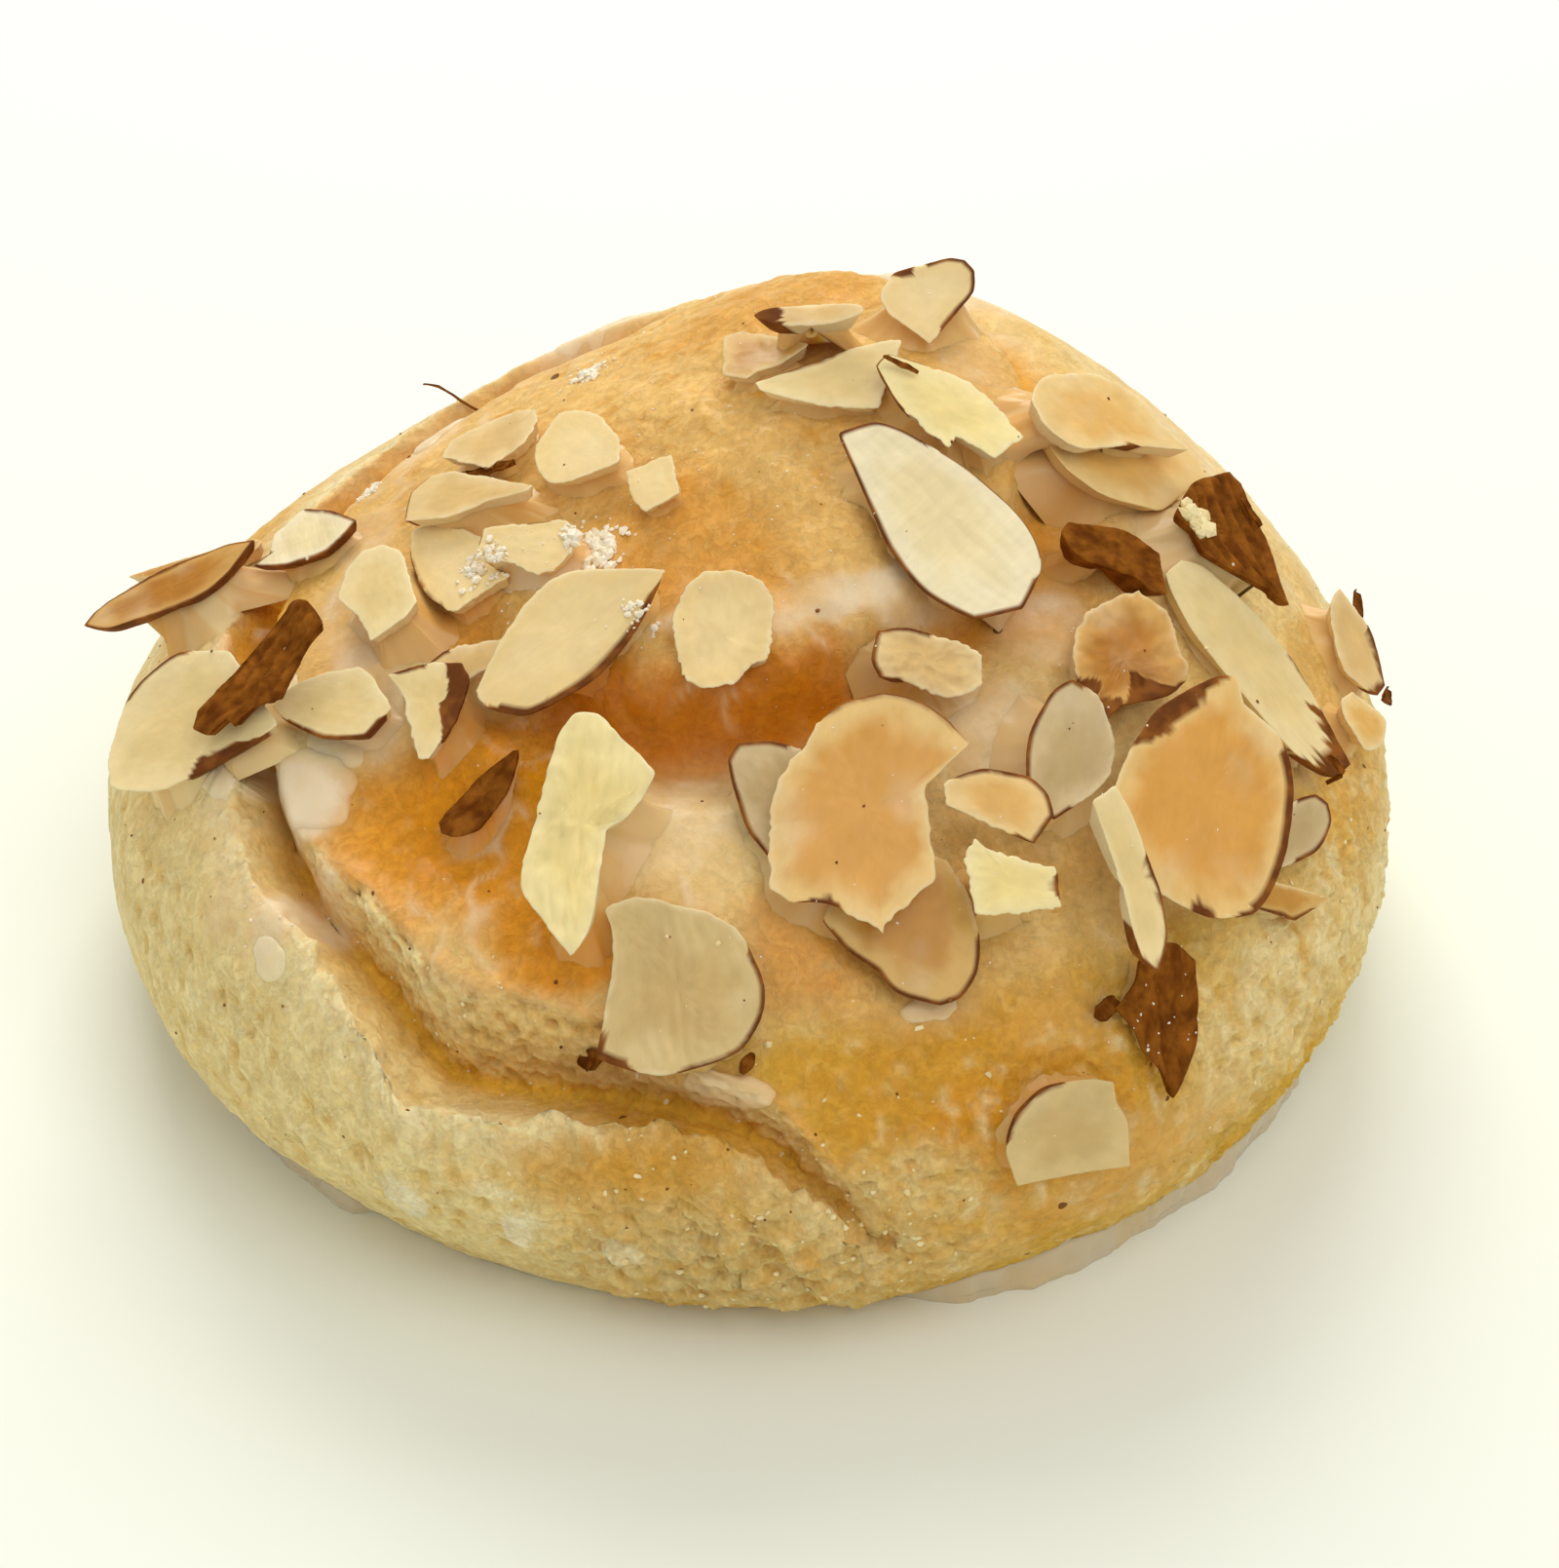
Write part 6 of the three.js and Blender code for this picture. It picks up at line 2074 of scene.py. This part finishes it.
class SmallThings:
    """Scraps of skin, sugar crumbs, pastry crumbs and dark specks."""

    SCRAPS = (
        SkinScrap(135, 41, 9.4, 0.45, -52, -40, 0.5, 2.0),
        SkinScrap(168, 27, 9.4, 1.3, 76, 16, 1.0, 0.5),
        SkinScrap(1, 14.5, 3.0, 0.6, 80, 30, 0.5, 0.8),
        SkinScrap(0, 45, 2.8, 0.9, 60, 0, 0.6, 0.2),
        SkinScrap(340, 62, 2.0, 0.9, 90, 0, 0.6, 0.2),
        SkinScrap(12, 71, 3.0, 2.2, 10, 0, 1.6, 1.0),
        SkinScrap(5, 78, 3.6, 1.5, -30, 30, 1.0, 0.5),
        SkinScrap(304, 66.5, 2.2, 1.4, 20, 0, 0.4, 0.3),
        SkinScrap(255, 66.5, 2.6, 1.5, 20, 0, 0.9, 0.2),
        SkinScrap(270, 65, 1.8, 1.0, 60, 0, 0.9, 0.2),
        SkinScrap(76, 44, 5.0, 1.4, 30, 30, 0.5, 0.6),
        SkinScrap(108, 60, 4.0, 1.8, -40, 20, 0.5, 0.5),
    )
    SUGAR = (
        Cluster(132, 26, 0.7, 70, 0.12, 0.42),
        Cluster(132, 27, 2.0, 30, 0.06, 0.18),
        Cluster(159, 42, 0.6, 60, 0.12, 0.4),
        Cluster(214, 18.5, 0.9, 90, 0.14, 0.55),
        Cluster(219, 19, 0.9, 70, 0.14, 0.5),
        Cluster(216, 18, 2.2, 40, 0.06, 0.18),
        Cluster(198, 27, 0.7, 60, 0.12, 0.4),
        Cluster(203, 25, 0.6, 60, 0.12, 0.4),
        Cluster(244, 23.5, 0.6, 40, 0.1, 0.34),
        Cluster(202, 25, 3.0, 40, 0.06, 0.16),
        Cluster(250, 12, 7.0, 70, 0.05, 0.12),
        Cluster(70, 12, 7.0, 50, 0.05, 0.12),
        Cluster(300, 40, 8.0, 40, 0.05, 0.12),
        Cluster(309, 72, 2.4, 26, 0.06, 0.14),
        Cluster(220, 66, 2.0, 24, 0.06, 0.16),
        Cluster(80, 44, 8.0, 50, 0.06, 0.2),
    )
    CRUMBS = (
        Cluster(275, 97, 7.0, 80, 0.12, 0.4),
        Cluster(240, 72, 5.0, 40, 0.1, 0.26),
        Cluster(283, 84, 4.0, 30, 0.12, 0.34),
        Cluster(258, 74, 5.0, 26, 0.1, 0.26),
        Cluster(330, 84, 8.0, 40, 0.1, 0.28),
        Cluster(354.5, 40, 0.7, 46, 0.4, 0.8),
    )

    def make(self, form: CrustForm, ground: Ground, skin: Material, sugar: Material) -> list[Object]:
        """Builds the small things.

        Args:
            form: The crust's form.
            ground: The crust and the almonds.
            skin: The finish of almond skin.
            sugar: The finish of sugar and crumbs.

        Returns:
            The pieces.
        """
        grains = Grains(7)
        scraps = Shell.joined([scrap.shell(form, ground) for scrap in self.SCRAPS])
        made = [(scraps.make("skin_scraps", skin), "almond_skin")]
        shell = grains.shell(ground, grains.spots(form, self.SUGAR), (Tone.SUGAR, Tone.ICING), 0.7)
        made.append((shell.make("sugar_crumbs", sugar, False), "glaze"))
        shell = grains.shell(ground, grains.spots(form, self.CRUMBS), (Tone.TORN, Tone.PALE_BAND), 0.6)
        made.append((shell.make("pastry_crumbs", sugar, False), "crust"))
        spots = grains.everywhere(form, 190, 4, 100, 0.06, 0.2)
        shell = grains.shell(ground, spots, (Tone.SPECK, Tone.SKIN_LIGHT), 0.5)
        made.append((shell.make("dark_specks", sugar), "almond_skin"))
        for piece, slot in made:
            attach(piece, "root")
        return [piece for piece, _ in made]


# Stage and light


@dataclass(frozen=True)
class Studio:
    """A pale floor, soft light and the camera at the photograph's angle."""

    lean: float = 40.0
    distance: float = 300.0
    focal_pixels: float = 3700.0
    frame_width: float = 1600.0
    target: Place = (2.26, 0.0, 15.0)
    floor_side: float = 3.0
    floor_tone: Colour = screen(240, 243, 231)
    sky_tone: Colour = (1.0, 0.99, 0.96)
    sky_strength: float = 0.6

    LAMPS = (
        ("window", (-0.05, 0.6, 0.64), 0.5, 4.15, (1.0, 0.98, 0.94)),
        ("overhead", (0.25, -0.3, 0.8), 0.6, 2.2, (1.0, 0.99, 0.97)),
    )

    def camera(self) -> None:
        """Sets the camera up."""
        lens = bpy.data.cameras.new("camera")
        lens.sensor_fit = "HORIZONTAL"
        lens.sensor_width = 36.0
        lens.lens = self.focal_pixels / self.frame_width * lens.sensor_width
        lens.clip_start, lens.clip_end = 0.01, 20.0
        holder = bpy.data.objects.new("camera", lens)
        lean = math.radians(self.lean)
        back = Vector((0, -math.cos(lean), math.sin(lean)))
        holder.location = (Vector(self.target) + back * self.distance) * MM
        holder.rotation_euler = (math.pi / 2 - lean, 0, 0)
        bpy.context.scene.collection.objects.link(holder)
        bpy.context.scene.camera = holder

    def floor(self) -> None:
        """Lays the floor."""
        side = self.floor_side / 2
        mesh = bpy.data.meshes.new("floor")
        corners = [(-side, -side, 0), (side, -side, 0), (side, side, 0), (-side, side, 0)]
        mesh.from_pydata(corners, [], [(0, 1, 2, 3)])
        made = bpy.data.materials.new("Pale floor")
        made.use_nodes = True
        shader = made.node_tree.nodes["Principled BSDF"]
        shader.inputs["Base Color"].default_value = (*self.floor_tone, 1)
        shader.inputs["Roughness"].default_value = 0.6
        shader.inputs["Specular IOR Level"].default_value = 0.2
        mesh.materials.append(made)
        floor = bpy.data.objects.new("floor", mesh)
        bpy.context.scene.collection.objects.link(floor)

    def lamp(self, name: str, place: Place, size: float, power: float, warmth: Colour) -> None:
        """Hangs a square soft light that faces the danish.

        Args:
            name: The light's name.
            place: Where it hangs, in metres.
            size: Its side, in metres.
            power: Its power, in watts.
            warmth: Its colour.
        """
        light = bpy.data.lights.new(name, "AREA")
        light.shape, light.size, light.energy, light.color = "SQUARE", size, power, warmth
        holder = bpy.data.objects.new(name, light)
        holder.location = place
        holder.rotation_euler = (Vector((0, 0, 0.02)) - Vector(place)).to_track_quat("-Z", "Y").to_euler()
        bpy.context.scene.collection.objects.link(holder)

    def light(self) -> None:
        """Lights the scene."""
        world = bpy.data.worlds.new("studio")
        world.use_nodes = True
        sky = world.node_tree.nodes["Background"]
        sky.inputs[0].default_value = (*self.sky_tone, 1)
        sky.inputs[1].default_value = self.sky_strength
        bpy.context.scene.world = world
        for lamp in self.LAMPS:
            self.lamp(*lamp)
        view = bpy.context.scene.view_settings
        view.view_transform, view.look, view.exposure, view.gamma = "Standard", "None", 0.0, 1.0


def main() -> None:
    """Builds the danish and its stage."""
    logging.basicConfig(level=logging.INFO, format="%(name)s: %(message)s")
    studio = Studio()
    studio.camera()
    studio.floor()
    studio.light()
    effects = Effects()
    skin, sugar = SKIN_FINISH.material(effects), SUGAR_FINISH.material(effects)
    form = CrustForm()
    bun, crust_shell = BunDough(form).make(CRUST_FINISH.material(effects))
    LOG.info("%s: %d points", bun.name, len(crust_shell.points))
    crust = Ground([crust_shell])
    toppings = AlmondToppings(frame["nodes"])
    shells = toppings.make(ALMOND_FINISH.material(effects), RIBBED_FINISH.material(effects), skin)
    LOG.info("%d almond pieces", len(shells))
    for piece in SugarGlaze().make(form, crust, toppings.forms, GLAZE_FINISH.material(effects)):
        LOG.info("%s", piece.name)
    plain = [Shell(shell.points, shell.faces, shell.tint) for shell in (crust_shell, *shells)]
    for piece in SmallThings().make(form, Ground(plain), skin, sugar):
        LOG.info("%s", piece.name)


if __name__ == "__main__":
    main()
